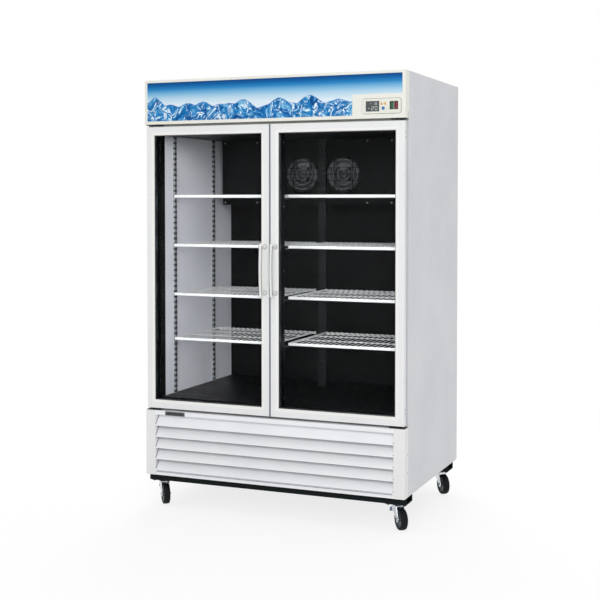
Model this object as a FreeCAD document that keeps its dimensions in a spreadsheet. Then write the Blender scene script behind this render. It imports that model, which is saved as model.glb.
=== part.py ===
import FreeCAD, Part
import math
import os
import Sketcher

# Upright freezer merchandiser with two glass doors, on four swivel casters.
# Millimetres. X runs to the viewer's right, Y towards the back, Z up.
# The origin is the middle of the footprint on the floor.

V = FreeCAD.Vector
doc = FreeCAD.newDocument("ice_merchandiser")
sheet = doc.addObject("Spreadsheet::Sheet", "sizes")

SIZES = {
    # cabinet
    "width": 1270, "height": 1990, "body_depth": 865,
    "face_setback": 52, "skin": 1.2, "wall": 52, "liner": 1.5, "front_flange": 22,
    "floor_rise": 55, "floor_thickness": 50,
    "ceiling_drop": 252, "ceiling_thickness": 57, "cover_lip": 15,
    # air outlets in the back panel
    "outlet_inner": 70, "outlet_outer": 145, "outlet_height": 10, "outlet_step": 34,
    "outlet_rise": 44, "outlet_count": 6,
    # breaker frame round the door opening, and the mullion behind the meeting stiles
    "breaker_plate": 4, "throat_depth": 42, "throat_wall": 2,
    "mullion_width": 76, "mullion_depth": 45, "mullion_bevel": 9,
    # header, sign and lamp
    "header_height": 204, "header_sheet": 1.5, "header_trim": 12, "header_trim_top": 10,
    "header_round": 3, "sign_thickness": 3, "sign_play": 0.5,
    "lamp_radius": 13, "lamp_inset": 95, "lamp_drop": 65, "lamp_setback": 30,
    "holder_width": 26, "holder_depth": 34, "holder_tail": 20.5,
    # control panel at the header's right end
    "panel_width": 241, "panel_height": 105, "panel_sheet": 1.5, "panel_overlap": 10,
    "module_offset": 195, "module_width": 175, "module_rise": 20, "module_height": 64,
    "module_round": 9, "module_proud": 3, "module_inset": 8, "module_depth": 26,
    "display_inset": 18, "display_width": 59, "display_rise": 10,
    "display_height": 43, "display_recess": 1.2,
    "button_radius": 5, "button_inset": 88, "button_spacing": 16, "button_rise": 41,
    "set_radius": 7, "set_rise": 22, "button_play": 0.2, "button_length": 8,
    "button_proud": 1.8, "button_travel": 1.2,
    "rocker_inset": 134, "rocker_spacing": 19.5, "rocker_rise": 34, "rocker_height": 30,
    "rocker_width": 12, "rocker_play": 0.4, "rocker_tilt": 9, "rocker_boss": 6,
    "rocker_plate": 4, "rocker_axis_depth": 4, "rocker_well": 16,
    # doors
    "door_rise": 10, "door_drop": 11, "door_inset": 6, "door_setback": 6, "door_gap": 4,
    "door_thickness": 30, "frame_width": 40, "frame_lip": 6, "frame_round": 3,
    "frame_bevel": 3, "glass_bite": 9, "glass_unit": 22, "pane": 4, "spacer_width": 12,
    "gasket_inset": 18, "gasket_width": 14, "gasket_step": 3, "seal_gap": 0.3,
    "hinge_inset": 15, "hinge_depth": 15, "pin_radius": 5, "pin_play": 0.05,
    "pin_reach": 25, "pin_end_play": 2, "bracket_sheet": 4, "bracket_reach": 73,
    "bracket_inset": 2, "bracket_front": 9, "bracket_back": 50, "collar_radius": 8.5,
    # bow handles
    "handle_height": 240, "handle_rise": 541, "handle_offset": 26, "handle_reach": 52,
    "handle_width": 15, "handle_thickness": 9, "handle_bow": 7,
    "foot_spacing": 208, "foot_radius": 6, "foot_length": 42, "boss_radius": 9,
    "boss_length": 8,
    "handle_bevel": 2.5,
    # lower front
    "lower_top": 450, "post_width": 50, "post_sheet": 1.5, "post_round": 3,
    "grille_head": 20, "louvre_count": 5, "louvre_tail": 21.5, "louvre_recess": 38,
    "louvre_lip": 5.5, "louvre_sheet": 1.8, "grille_strip": 50, "grille_sheet": 1.5,
    # base
    "channel_height": 32, "channel_depth": 90, "channel_sheet": 3, "channel_inset": 2,
    "channel_front": 33, "channel_back": 63, "deck_sheet": 2, "deck_inset": 4,
    # condensing unit
    "coil_left": 60, "coil_width": 440, "coil_setback": 68, "coil_depth": 54,
    "coil_height": 250, "coil_fins": 12, "coil_fin": 4, "coil_groove": 8,
    "shroud_depth": 40, "shroud_sheet": 1.5, "condenser_fan_radius": 104,
    "fan_play": 6, "compressor_x": -290, "compressor_setback": 420,
    "compressor_radius": 85, "compressor_height": 205, "compressor_foot": 16,
    # fan motors
    "motor_radius": 30, "motor_length": 42, "shaft_radius": 3, "shaft_play": 0.05,
    "fan_hub_radius": 18, "fan_hub_length": 22, "fan_gap": 3, "blade_sheet": 1.6,
    "blade_angle": 26, "blade_count": 4, "blade_root_width": 26, "blade_tip_width": 66,
    "arm_width": 18, "arm_sheet": 3, "arm_overlap": 10,
    # evaporator section
    "cover_depth": 155, "cover_height": 328, "cover_gap": 28, "cover_sheet": 1.5,
    "evaporator_fan_radius": 80, "fan_opening": 87, "fan_offset": 110, "fan_drop": 175,
    "guard_wire": 3, "guard_bars": 7, "guard_reach": 96, "guard_half": 88,
    "evaporator_inset": 125, "evaporator_depth": 44, "evaporator_rise": 22,
    "evaporator_height": 290, "evaporator_clear": 0.3, "evaporator_fins": 12,
    # shelves and their supports
    "shelf_setback": 150, "shelf_back_gap": 16, "shelf_inner": 28, "shelf_outer_gap": 12,
    "shelf_rail": 15, "shelf_rail_sheet": 3, "shelf_wire": 5, "shelf_gaps": 8,
    "shelf_drop_1": 278, "shelf_drop_2": 511, "shelf_drop_3": 745, "shelf_drop_4": 958,
    "standard_width": 20, "standard_depth": 8, "standard_sheet": 1.5,
    "standard_front": 190, "standard_rear_gap": 58, "centre_standard_width": 40,
    "clip_height": 10, "clip_width": 14,
    # casters
    "caster_height": 114, "caster_inset": 53, "caster_front": 78, "caster_back": 108,
    "wheel_radius": 47.5, "wheel_width": 30, "wheel_side_play": 1.6,
    "caster_trail": 35, "caster_turn": -50, "plate_length": 96, "plate_width": 78,
    "plate_sheet": 4, "race_radius": 25, "race_height": 6.7, "kingpin_radius": 6,
    "fork_sheet": 3, "fork_half_length": 24, "axle_radius": 4,
    "bolt_radius": 6.5,
    "axle_play": 0.05, "fork_end_radius": 13, "brake_pin_radius": 3,
    "brake_x": -13, "brake_drop": 19, "brake_width": 24, "brake_reach": 46, "brake_sheet": 5,
    "brake_boss": 8, "running_gap": 0.3,
}


class Size:
    """A length with two readings: a formula on the sheet, and a number."""

    def __init__(self, formula, number):
        self.formula = formula
        self.number = float(number)

    def joined(self, sign, other, number):
        return Size(f"({self.formula} {sign} {formula_of(other)})", number)

    def __add__(self, other):
        return self.joined("+", other, self.number + float(other))

    def __sub__(self, other):
        return self.joined("-", other, self.number - float(other))

    def __mul__(self, other):
        return self.joined("*", other, self.number * float(other))

    def __truediv__(self, other):
        return self.joined("/", other, self.number / float(other))

    def __radd__(self, other):
        return Size(formula_of(other), other) + self

    def __rsub__(self, other):
        return Size(formula_of(other), other) - self

    def __rmul__(self, other):
        return Size(formula_of(other), other) * self

    def __neg__(self):
        return Size(f"(-1 * {self.formula})", -self.number)

    def __float__(self):
        return self.number


def formula_of(value):
    return value.formula if isinstance(value, Size) else repr(float(value))


class Sheet:
    """The driving sizes as attributes, each a Size."""

    def __getattr__(self, name):
        return Size(f"sizes.{name}", SIZES[name])


for row, (alias, number) in enumerate(SIZES.items(), start=1):
    sheet.set(f"A{row}", str(number))
    sheet.setAlias(f"A{row}", alias)
doc.recompute()
S = Sheet()


# ---------------------------------------------------------------- tools

ROLES = {"XY": "XY_Plane", "XZ": "XZ_Plane", "YZ": "YZ_Plane"}
AXES = {"x": "X_Axis", "y": "Y_Axis", "z": "Z_Axis"}
TURNS = {"x": ((0, 1, 0), 90), "y": ((1, 0, 0), -90), "z": ((0, 0, 1), 0)}
# the XZ plane of a body faces -Y, the other two face their own axis
FACES_BACK = {"XY": False, "XZ": True, "YZ": False}
subparts = []


def bind(thing, prop, value):
    """Ties a property to the sheet, or sets it where the value is a plain number."""
    if isinstance(value, Size):
        thing.setExpression(prop, value.formula)
    else:
        thing.setExpression(prop, repr(float(value)))


def keep(thing, label):
    """Registers a finished sub-part under its own name."""
    thing.Label = label
    subparts.append(thing)
    return thing


def move(thing, x=0, y=0, z=0, turn=None):
    """Places an object. turn is (axis, degrees)."""
    if turn is not None:
        axis, angle = turn
        base = FreeCAD.Vector(float(x), float(y), float(z))
        thing.Placement = FreeCAD.Placement(base, FreeCAD.Rotation(V(*axis), float(angle)))
    bind(thing, "Placement.Base.x", x)
    bind(thing, "Placement.Base.y", y)
    bind(thing, "Placement.Base.z", z)
    return thing


def box(name, x, y, z):
    """A box between a low and a high value along each axis."""
    solid = doc.addObject("Part::Box", name)
    bind(solid, "Length", x[1] - x[0])
    bind(solid, "Width", y[1] - y[0])
    bind(solid, "Height", z[1] - z[0])
    return move(solid, x[0], y[0], z[0])


def cylinder(name, radius, length, x, y, z, along="z"):
    """A cylinder from its start point towards the positive side of an axis."""
    solid = doc.addObject("Part::Cylinder", name)
    bind(solid, "Radius", radius)
    bind(solid, "Height", length)
    return move(solid, x, y, z, TURNS[along])


def prism(name, radius, length, x, y, z, along="z", sides=8):
    """A regular bar with its corners at the radius, placed as a cylinder is."""
    solid = doc.addObject("Part::Prism", name)
    solid.Polygon = sides
    bind(solid, "Circumradius", radius)
    bind(solid, "Height", length)
    return move(solid, x, y, z, TURNS[along])


def fuse(name, pieces):
    solid = doc.addObject("Part::MultiFuse", name)
    solid.Shapes = pieces
    solid.Refine = True
    return solid


def cut(name, base, tools):
    tool = tools[0] if len(tools) == 1 else group(f"{name}_tools", tools)
    solid = doc.addObject("Part::Cut", name)
    solid.Base = base
    solid.Tool = tool
    return solid


def group(name, pieces):
    """Separate solids in one object."""
    bundle = doc.addObject("Part::Compound", name)
    bundle.Links = pieces
    return bundle


def mirrored(name, source):
    """The same piece on the other side of the middle plane."""
    twin = doc.addObject("Part::Mirroring", name)
    twin.Source = source
    twin.Base = V(0, 0, 0)
    twin.Normal = V(1, 0, 0)
    return twin


def body(name):
    return doc.addObject("PartDesign::Body", name)


def origin_feature(owner, role):
    return next(f for f in owner.Origin.OriginFeatures if f.Role == role)


class Circle:
    def __init__(self, x, y, radius):
        self.x = x
        self.y = y
        self.radius = radius


def rect(x, y):
    """The four corners between a low and a high value along both sketch axes."""
    return [(x[0], y[0]), (x[1], y[0]), (x[1], y[1]), (x[0], y[1])]


def pin_point(sketch, geometry, end, point):
    for kind, value in (("DistanceX", point[0]), ("DistanceY", point[1])):
        index = sketch.addConstraint(
            Sketcher.Constraint(kind, -1, 1, geometry, end, float(value)))
        bind(sketch, f"Constraints[{index}]", value)


def draw_circle(sketch, circle):
    centre = V(float(circle.x), float(circle.y), 0)
    line = sketch.addGeometry(Part.Circle(centre, V(0, 0, 1), float(circle.radius)), False)
    index = sketch.addConstraint(Sketcher.Constraint("Radius", line, float(circle.radius)))
    bind(sketch, f"Constraints[{index}]", circle.radius)
    pin_point(sketch, line, 3, (circle.x, circle.y))


def draw_outline(sketch, points, bulges):
    """A closed outline. bulges gives the sagitta of the sides that are arcs."""
    corners = [V(float(x), float(y), 0) for x, y in points]
    count = len(corners)
    starts = []
    for side, start in enumerate(corners):
        end = corners[(side + 1) % count]
        if side in bulges:
            chord = end - start
            normal = V(chord.y, -chord.x, 0).normalize()
            middle = (start + end) / 2 + normal * float(bulges[side])
            arc = sketch.addGeometry(Part.Arc(start, middle, end), False)
            first = 1 if sketch.getPoint(arc, 1).distanceToPoint(start) < 1e-6 else 2
            half = chord.Length / 2
            sagitta = abs(float(bulges[side]))
            radius = (half * half + sagitta * sagitta) / (2 * sagitta)
            sketch.addConstraint(Sketcher.Constraint("Radius", arc, radius))
            starts.append((arc, first, 3 - first))
        else:
            line = sketch.addGeometry(Part.LineSegment(start, end), False)
            starts.append((line, 1, 2))
    for side in range(count):
        here, _, last = starts[side]
        there, first, _ = starts[(side + 1) % count]
        sketch.addConstraint(Sketcher.Constraint("Coincident", here, last, there, first))
    for (geometry, first, _), point in zip(starts, points):
        pin_point(sketch, geometry, first, point)


def draw(owner, plane, outlines, offset=0, bulges=None, tilt=None):
    """A sketch on one of the body's own planes, moved along the plane's axis."""
    sketch = owner.newObject("Sketcher::SketchObject", f"{owner.Name}_sketch")
    sketch.AttachmentSupport = [(origin_feature(owner, ROLES[plane]), "")]
    sketch.MapMode = "FlatFace"
    if tilt is not None:
        axis, angle = tilt
        rotation = FreeCAD.Rotation(V(*axis), float(angle))
        sketch.AttachmentOffset = FreeCAD.Placement(V(0, 0, 0), rotation)
    distance = -offset if FACES_BACK[plane] else offset
    bind(sketch, ".AttachmentOffset.Base.z", distance)
    for outline in outlines:
        if isinstance(outline, Circle):
            draw_circle(sketch, outline)
        else:
            draw_outline(sketch, outline, bulges or {})
    return sketch


def pad(owner, plane, outlines, span, bulges=None):
    """Adds material between two values along the plane's axis."""
    low, high = span
    sketch = draw(owner, plane, outlines, low, bulges)
    feature = owner.newObject("PartDesign::Pad", f"{owner.Name}_pad")
    feature.Profile = sketch
    bind(feature, "Length", high - low)
    feature.Reversed = FACES_BACK[plane]
    sketch.Visibility = False
    return feature


def pocket(owner, plane, outlines, span, bulges=None):
    """Removes material between two values along the plane's axis."""
    doc.recompute()
    before = owner.Shape.Volume
    low, high = span
    sketch = draw(owner, plane, outlines, low if FACES_BACK[plane] else high, bulges)
    feature = owner.newObject("PartDesign::Pocket", f"{owner.Name}_pocket")
    feature.Profile = sketch
    bind(feature, "Length", high - low)
    doc.recompute()
    if not owner.Shape.Volume < before:
        raise RuntimeError(f"a pocket in {owner.Label} cuts nothing")
    return feature


def repeat(owner, feature, axis, length, count):
    """Copies a feature along an axis. length is from the first copy to the last."""
    pattern = owner.newObject("PartDesign::LinearPattern", f"{owner.Name}_pattern")
    pattern.Originals = [feature]
    pattern.Direction = (origin_feature(owner, AXES[axis]), [""])
    bind(pattern, "Length", length)
    bind(pattern, "Occurrences", count)
    owner.Tip = pattern
    return pattern


def repeat_round(owner, feature, axis, count):
    pattern = owner.newObject("PartDesign::PolarPattern", f"{owner.Name}_pattern")
    pattern.Originals = [feature]
    pattern.Axis = (origin_feature(owner, AXES[axis]), [""])
    pattern.Angle = 360
    bind(pattern, "Occurrences", count)
    owner.Tip = pattern
    return pattern


def edges_where(owner, wanted):
    doc.recompute()
    names = []
    for index, edge in enumerate(owner.Tip.Shape.Edges, start=1):
        if wanted(edge):
            names.append(f"Edge{index}")
    if not names:
        raise RuntimeError(f"no edge found on {owner.Label}")
    return names


def round_edges(owner, radius, wanted):
    names = edges_where(owner, wanted)
    base = owner.Tip
    feature = owner.newObject("PartDesign::Fillet", f"{owner.Name}_fillet")
    feature.Base = (base, names)
    bind(feature, "Radius", radius)
    owner.Tip = feature


def bevel_edges(owner, size, wanted):
    names = edges_where(owner, wanted)
    base = owner.Tip
    feature = owner.newObject("PartDesign::Chamfer", f"{owner.Name}_chamfer")
    feature.Base = (base, names)
    bind(feature, "Size", size)
    owner.Tip = feature


def is_line_along(edge, axis):
    if len(edge.Vertexes) != 2 or edge.Curve.TypeId != "Part::GeomLine":
        return False
    direction = edge.Vertexes[1].Point - edge.Vertexes[0].Point
    return abs(getattr(direction.normalize(), axis)) > 0.999


def near(value, size):
    return abs(value - float(size)) < 0.01


# ---------------------------------------------------------------- shared places

half_width = S.width / 2
front = -(S.body_depth - S.handle_reach + S.door_setback) / 2
back = front + S.body_depth
face = front + S.face_setback
back_inside = back - S.skin

cabinet_bottom = S.caster_height + S.channel_height
header_bottom = S.height - S.header_height
interior_floor = S.lower_top + S.floor_rise
interior_ceiling = S.height - S.ceiling_drop
liner_half_width = half_width - S.wall
liner_back = back - S.wall
foam_floor_bottom = interior_floor - S.floor_thickness
foam_ceiling_top = interior_ceiling + S.ceiling_thickness

door_front = front + S.door_setback
door_back = door_front + S.door_thickness
door_bottom = S.lower_top + S.door_rise
door_top = header_bottom - S.door_drop
door_outer = half_width - S.door_inset
door_inner = S.door_gap / 2
hinge_x = door_outer - S.hinge_inset
hinge_y = door_front + S.hinge_depth

deck_top = cabinet_bottom + S.deck_sheet
channel_bottom = S.caster_height


# ---------------------------------------------------------------- cabinet shell

def side_panels():
    """Folded steel sides, each with a flange turned in at the front."""
    left = body("side_panel_left")
    profile = [
        (-half_width, back_inside),
        (-half_width, face),
        (-half_width + S.front_flange, face),
        (-half_width + S.front_flange, face + S.skin),
        (-half_width + S.skin, face + S.skin),
        (-half_width + S.skin, back_inside),
    ]
    pad(left, "XY", [profile], (cabinet_bottom, S.height))
    keep(left, "side_panel_left")
    keep(mirrored("side_panel_right", left), "side_panel_right")


def back_panel():
    """Rear sheet with two columns of air outlets for the condensing unit."""
    panel = body("back_panel")
    pad(panel, "XZ", [rect((-half_width, half_width), (cabinet_bottom, S.height))],
        (back_inside, back))
    first = cabinet_bottom + S.outlet_rise
    rows = (first, first + S.outlet_height)
    end = half_width - S.outlet_outer
    slots = [rect((-end, -S.outlet_inner), rows), rect((S.outlet_inner, end), rows)]
    outlets = pocket(panel, "XZ", slots, (back_inside, back))
    repeat(panel, outlets, "z", S.outlet_step * (S.outlet_count - 1), S.outlet_count)
    keep(panel, "back_panel")


def foam_core():
    """Foamed walls between the skins and the liner, one slab per wall."""
    outer = half_width - S.skin
    inner = liner_half_width + S.liner
    start = face + S.breaker_plate
    rear = liner_back + S.liner
    tall = (foam_floor_bottom, foam_ceiling_top)
    slabs = [
        box("foam_left", (-outer, -inner), (start, back_inside), tall),
        box("foam_right", (inner, outer), (start, back_inside), tall),
        box("foam_rear", (-inner, inner), (rear, back_inside), tall),
        box("foam_floor", (-inner, inner), (start, rear),
            (foam_floor_bottom, interior_floor - S.liner)),
        box("foam_ceiling", (-inner, inner), (start, rear),
            (interior_ceiling + S.liner, foam_ceiling_top)),
    ]
    keep(group("foam_core", slabs), "foam_core")


def inner_liner():
    """Thin liner of the cold compartment, open at the front."""
    outer = liner_half_width + S.liner
    start = face + S.breaker_plate
    shell = box("liner_block", (-outer, outer), (start, liner_back + S.liner),
                (interior_floor - S.liner, interior_ceiling + S.liner))
    room = box("liner_room", (-liner_half_width, liner_half_width),
               (start - S.liner, liner_back), (interior_floor, interior_ceiling))
    keep(cut("inner_liner", shell, [room]), "inner_liner")


def top_cover():
    """Sheet lid between the side panels, with both sides turned down."""
    cover = body("top_cover")
    outer = half_width - S.skin
    inner = outer - S.skin
    top = S.height
    under = top - S.skin
    low = top - S.cover_lip
    profile = [(-outer, low), (-inner, low), (-inner, under), (inner, under),
               (inner, low), (outer, low), (outer, top), (-outer, top)]
    pad(cover, "XZ", [profile], (face + S.skin, back_inside))
    keep(cover, "top_cover")


def breaker_frame():
    """Plastic frame on the cabinet's front with a throat that laps the liner."""
    frame = body("breaker_frame")
    plate_half = half_width - S.front_flange
    throat_half = liner_half_width - S.throat_wall
    throat = (interior_floor + S.throat_wall, interior_ceiling - S.throat_wall)
    opening = rect((-throat_half, throat_half), throat)
    plate = rect((-plate_half, plate_half), (foam_floor_bottom, foam_ceiling_top))
    pad(frame, "XZ", [plate, opening], (face, face + S.breaker_plate))
    sleeve = rect((-liner_half_width, liner_half_width),
                  (interior_floor, interior_ceiling))
    pad(frame, "XZ", [sleeve, opening], (face, face + S.throat_depth))
    keep(frame, "breaker_frame")


def center_mullion():
    """Post in the middle of the opening that both gaskets close on."""
    post = body("center_mullion")
    half = S.mullion_width / 2
    rear = face + S.mullion_depth
    profile = [
        (-half, face), (half, face), (half, rear - S.mullion_bevel),
        (half - S.mullion_bevel, rear), (S.mullion_bevel - half, rear),
        (-half, rear - S.mullion_bevel),
    ]
    pad(post, "XY", [profile],
        (interior_floor + S.throat_wall, interior_ceiling - S.throat_wall))
    keep(post, "center_mullion")


# ---------------------------------------------------------------- header

sign_front = front + S.header_sheet
opening_bottom = header_bottom + S.header_trim
opening_top = S.height - S.header_trim_top
opening_half = half_width - S.header_trim
panel_left = half_width - S.panel_width
panel_top = header_bottom + S.panel_height
module_left = half_width - S.module_offset
module_right = module_left + S.module_width
module_bottom = header_bottom + S.module_rise
module_top = module_bottom + S.module_height
display_left = module_left + S.display_inset
display_bottom = module_bottom + S.display_rise
button_x = module_left + S.button_inset
button_z = module_bottom + S.button_rise
set_x = button_x + S.button_spacing / 2
set_z = module_bottom + S.set_rise
rocker_x = module_left + S.rocker_inset
rocker_z = module_bottom + S.rocker_rise


def header_housing():
    """Folded box across the top front, open at the back, with the sign opening."""
    header = body("header_housing")
    pad(header, "XZ", [rect((-half_width, half_width), (header_bottom, S.height))],
        (front, face))
    inside = half_width - S.header_sheet
    pocket(header, "XZ",
           [rect((-inside, inside),
                 (header_bottom + S.header_sheet, S.height - S.header_sheet))],
           (sign_front, face))
    pocket(header, "XZ",
           [rect((-opening_half, opening_half), (opening_bottom, opening_top))],
           (front, sign_front))

    def outer_front(edge):
        point = edge.CenterOfMass
        on_side = near(abs(point.x), half_width)
        return near(point.y, front) and (on_side and is_line_along(edge, "z"))

    round_edges(header, S.header_round, outer_front)
    keep(header, "header_housing")


def sign_panel():
    """Translucent panel behind the header's frame, cut out behind the controls."""
    side = half_width - S.header_sheet - S.sign_play
    low = header_bottom + S.header_sheet + S.sign_play
    high = S.height - S.header_sheet - S.sign_play
    depth = (sign_front, sign_front + S.sign_thickness)
    sheet_block = box("sign_sheet", (-side, side), depth, (low, high))
    notch = box("sign_notch",
                (panel_left + S.panel_overlap, side + S.sign_play),
                (sign_front - S.sign_thickness, sign_front + S.sign_thickness * 2),
                (low - S.sign_play, panel_top - S.panel_overlap))
    keep(cut("sign_panel", sheet_block, [notch]), "sign_panel")


def sign_lamp():
    """Tube lamp between two holders that hang from the header's top."""
    y = front + S.lamp_setback
    ceiling = S.height - S.header_sheet
    z = S.height - S.lamp_drop
    half = half_width - S.lamp_inset
    pieces = [cylinder("lamp_tube", S.lamp_radius, half * 2, -half, y, z, "x")]
    for side in (-1, 1):
        inner = half * side
        outer = inner + S.holder_width * side
        span = (inner, outer) if side > 0 else (outer, inner)
        pieces.append(box("lamp_holder", span,
                          (y - S.holder_depth / 2, y + S.holder_depth / 2),
                          (z - S.holder_tail, ceiling)))
    keep(group("sign_lamp", pieces), "sign_lamp")


def control_panel():
    """Plate at the right end of the sign opening, with the module's cut-out."""
    plate = box("panel_plate", (panel_left, opening_half), (front, sign_front),
                (opening_bottom, panel_top))
    hole = box("panel_hole",
               (module_left + S.module_inset, module_right - S.module_inset),
               (front - S.panel_sheet, sign_front + S.panel_sheet),
               (module_bottom + S.module_inset, module_top - S.module_inset))
    keep(cut("control_panel", plate, [hole]), "control_panel")


def control_bezel():
    """Moulded control module: rounded face, display recess, bores and wells."""
    bezel = body("control_bezel")
    face_y = front - S.module_proud
    pad(bezel, "XZ", [rect((module_left, module_right), (module_bottom, module_top))],
        (face_y, front))

    def corner(edge):
        return is_line_along(edge, "y")

    round_edges(bezel, S.module_round, corner)
    pad(bezel, "XZ",
        [rect((module_left + S.module_inset, module_right - S.module_inset),
              (module_bottom + S.module_inset, module_top - S.module_inset))],
        (front, front + S.module_depth))
    pocket(bezel, "XZ",
           [rect((display_left, display_left + S.display_width),
                 (display_bottom, display_bottom + S.display_height))],
           (face_y, face_y + S.display_recess))
    bore = S.button_length + S.button_travel * 2
    pocket(bezel, "XZ",
           [Circle(button_x, button_z, S.button_radius + S.button_play),
            Circle(button_x + S.button_spacing, button_z, S.button_radius + S.button_play),
            Circle(set_x, set_z, S.set_radius + S.button_play)],
           (face_y, face_y + bore))
    wells = []
    for index in range(2):
        x = rocker_x + S.rocker_spacing * index
        half = S.rocker_width / 2 + S.rocker_play
        reach = S.rocker_height / 2 + S.rocker_play
        wells.append(rect((x - half, x + half), (rocker_z - reach, rocker_z + reach)))
    pocket(bezel, "XZ", wells, (face_y, face_y + S.rocker_well))
    keep(bezel, "control_bezel")


def push_button(name, x, z, radius):
    """Round button that stands proud of the module's face."""
    button = body(name)
    start = front - S.module_proud - S.button_proud
    pad(button, "XZ", [Circle(x, z, radius)], (start, start + S.button_length))
    keep(button, name)


def push_buttons():
    push_button("button_up", button_x, button_z, S.button_radius)
    push_button("button_down", button_x + S.button_spacing, button_z, S.button_radius)
    push_button("button_set", set_x, set_z, S.set_radius)


def rocker(name, x):
    """Rocker paddle round its own pivot: two sloping faces over a faceted barrel."""
    paddle = body(name)
    half = S.rocker_height / 2 - S.rocker_plate / 2
    plate = S.rocker_plate
    lift = S.rocker_boss
    low = plate - lift
    profile = [(-plate, 0), (-lift, half), (low, half), (low / 2, plate * 1.5),
               (plate * 0.8, plate), (plate * 1.3, 0), (plate * 0.8, -plate),
               (low / 2, -plate * 1.5), (low, -half), (-lift, -half)]
    pad(paddle, "YZ", [profile], (-S.rocker_width / 2, S.rocker_width / 2))
    move(paddle, x, front - S.module_proud + S.rocker_axis_depth, rocker_z,
         ((1, 0, 0), S.rocker_tilt))
    keep(paddle, name)


def rockers():
    rocker("rocker_light", rocker_x)
    rocker("rocker_power", rocker_x + S.rocker_spacing)


# ---------------------------------------------------------------- lower front

post_inner = half_width - S.post_width


def corner_posts():
    """Folded posts beside the grille, closed at the top to carry the hinges."""
    left = body("corner_post_left")
    pad(left, "XY", [rect((-half_width, -post_inner), (front, face))],
        (cabinet_bottom, S.lower_top))

    def outer_corner(edge):
        point = edge.CenterOfMass
        return is_line_along(edge, "z") and near(point.x, -half_width) and near(point.y, front)

    round_edges(left, S.post_round, outer_corner)
    pocket(left, "XY",
           [rect((-half_width + S.post_sheet, -post_inner - S.post_sheet),
                 (front + S.post_sheet, face))],
           (cabinet_bottom, S.lower_top - S.post_sheet))
    right = mirrored("corner_post_right", left)
    keep(group("corner_posts", [left, right]), "corner_posts")


def louver_grille():
    """Pressed grille: slats that slope forward to a lip, between two end plates."""
    grille = body("louver_grille")
    sides = (-post_inner, post_inner)
    deep = front + S.louvre_recess
    lip = front + S.louvre_sheet
    top = S.lower_top - S.grille_head
    last_lip = cabinet_bottom + S.louvre_tail
    step = (top - last_lip) / S.louvre_count
    drop = step - S.louvre_lip
    slat = [
        (deep, top),
        (front, top - drop),
        (front, top - step),
        (lip, top - step),
        (lip, top - drop),
        (deep + S.louvre_sheet, top),
    ]
    first = pad(grille, "YZ", [slat], sides)
    rows = repeat(grille, first, "z", step * (S.louvre_count - 1), S.louvre_count)
    rows.Reversed = True
    strip = front + S.grille_strip
    sheet_y = front + S.grille_sheet
    head = [
        (front, top), (deep + S.louvre_sheet, top),
        (deep + S.louvre_sheet, top + S.grille_sheet), (sheet_y, top + S.grille_sheet),
        (sheet_y, S.lower_top - S.grille_sheet), (strip, S.lower_top - S.grille_sheet),
        (strip, S.lower_top), (front, S.lower_top),
    ]
    pad(grille, "YZ", [head], sides)
    foot = rect((lip, lip + S.grille_sheet),
                (cabinet_bottom, last_lip + S.grille_sheet * 2))
    pad(grille, "YZ", [foot], sides)
    plate = rect((lip, deep + S.louvre_sheet), (cabinet_bottom, top))
    pad(grille, "YZ", [plate], (-post_inner, S.grille_sheet - post_inner))
    pad(grille, "YZ", [plate], (post_inner - S.grille_sheet, post_inner))
    keep(grille, "louver_grille")


# ---------------------------------------------------------------- base and condensing unit

def base_frame():
    """Two open channels across the cabinet, and the deck that lies on them."""
    half = half_width - S.channel_inset
    top = cabinet_bottom
    pieces = []
    for name, start in (("front", front + S.channel_front),
                        ("rear", back - S.channel_back - S.channel_depth)):
        channel = body(f"channel_{name}")
        end = start + S.channel_depth
        low = channel_bottom
        floor = low + S.channel_sheet
        profile = [
            (start, low), (end, low), (end, top), (end - S.channel_sheet, top),
            (end - S.channel_sheet, floor), (start + S.channel_sheet, floor),
            (start + S.channel_sheet, top), (start, top),
        ]
        pad(channel, "YZ", [profile], (-half, half))
        pieces.append(channel)
    deck_half = half_width - S.deck_inset
    pieces.append(box("deck", (-deck_half, deck_half),
                      (face + S.skin, back_inside), (cabinet_bottom, deck_top)))
    keep(group("base_frame", pieces), "base_frame")


def finned_coil(name, x, y, z, fins):
    """Finned block: grooves on the front face leave the fins, end plates stand proud."""
    coil = body(name)
    pad(coil, "XZ", [rect(x, z)], y)
    inset = S.coil_fin * 2
    pitch = (z[1] - z[0] - inset * 2 + S.coil_fin) / fins
    groove = rect((x[0] + inset, x[1] - inset),
                  (z[0] + inset, z[0] + inset + pitch - S.coil_fin))
    cut_groove = pocket(coil, "XZ", [groove], (y[0], y[0] + S.coil_groove))
    repeat(coil, cut_groove, "z", pitch * (fins - 1), fins)
    keep(coil, name)


coil_right = S.coil_left + S.coil_width
coil_front = front + S.coil_setback
coil_back = coil_front + S.coil_depth
shroud_back = coil_back + S.shroud_depth
coil_top = deck_top + S.coil_height
condenser_x = S.coil_left + S.coil_width / 2
condenser_z = deck_top + S.coil_height / 2


def fan_motor(name, x, y, z, reach):
    """Motor with its shaft towards -Y, carried by a strap with two legs.

    y is the back of the plate that the strap is fixed to, reach is half its span.
    """
    can_start = y + S.fan_hub_length + S.fan_gap * 2
    can_end = can_start + S.motor_length
    half = S.arm_width / 2
    can = body(f"{name}_can")
    outline = [(x + dx, z + dz) for dx, dz in regular(S.motor_radius, 8)]
    pad(can, "XZ", [outline], (can_start, can_end))
    pieces = [
        prism(f"{name}_shaft", S.shaft_radius, can_start - y, x, y, z, "y"),
        can,
        box(f"{name}_strap", (x - half, x + half), (can_end, can_end + S.arm_sheet),
            (z - reach, z + reach)),
    ]
    for side in (-1, 1):
        outer = z + reach * side
        inner = outer - S.arm_sheet * side
        span = (inner, outer) if side > 0 else (outer, inner)
        pieces.append(box(f"{name}_leg", (x - half, x + half), (y, can_end + S.arm_sheet), span))
    return fuse(name, pieces)


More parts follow.
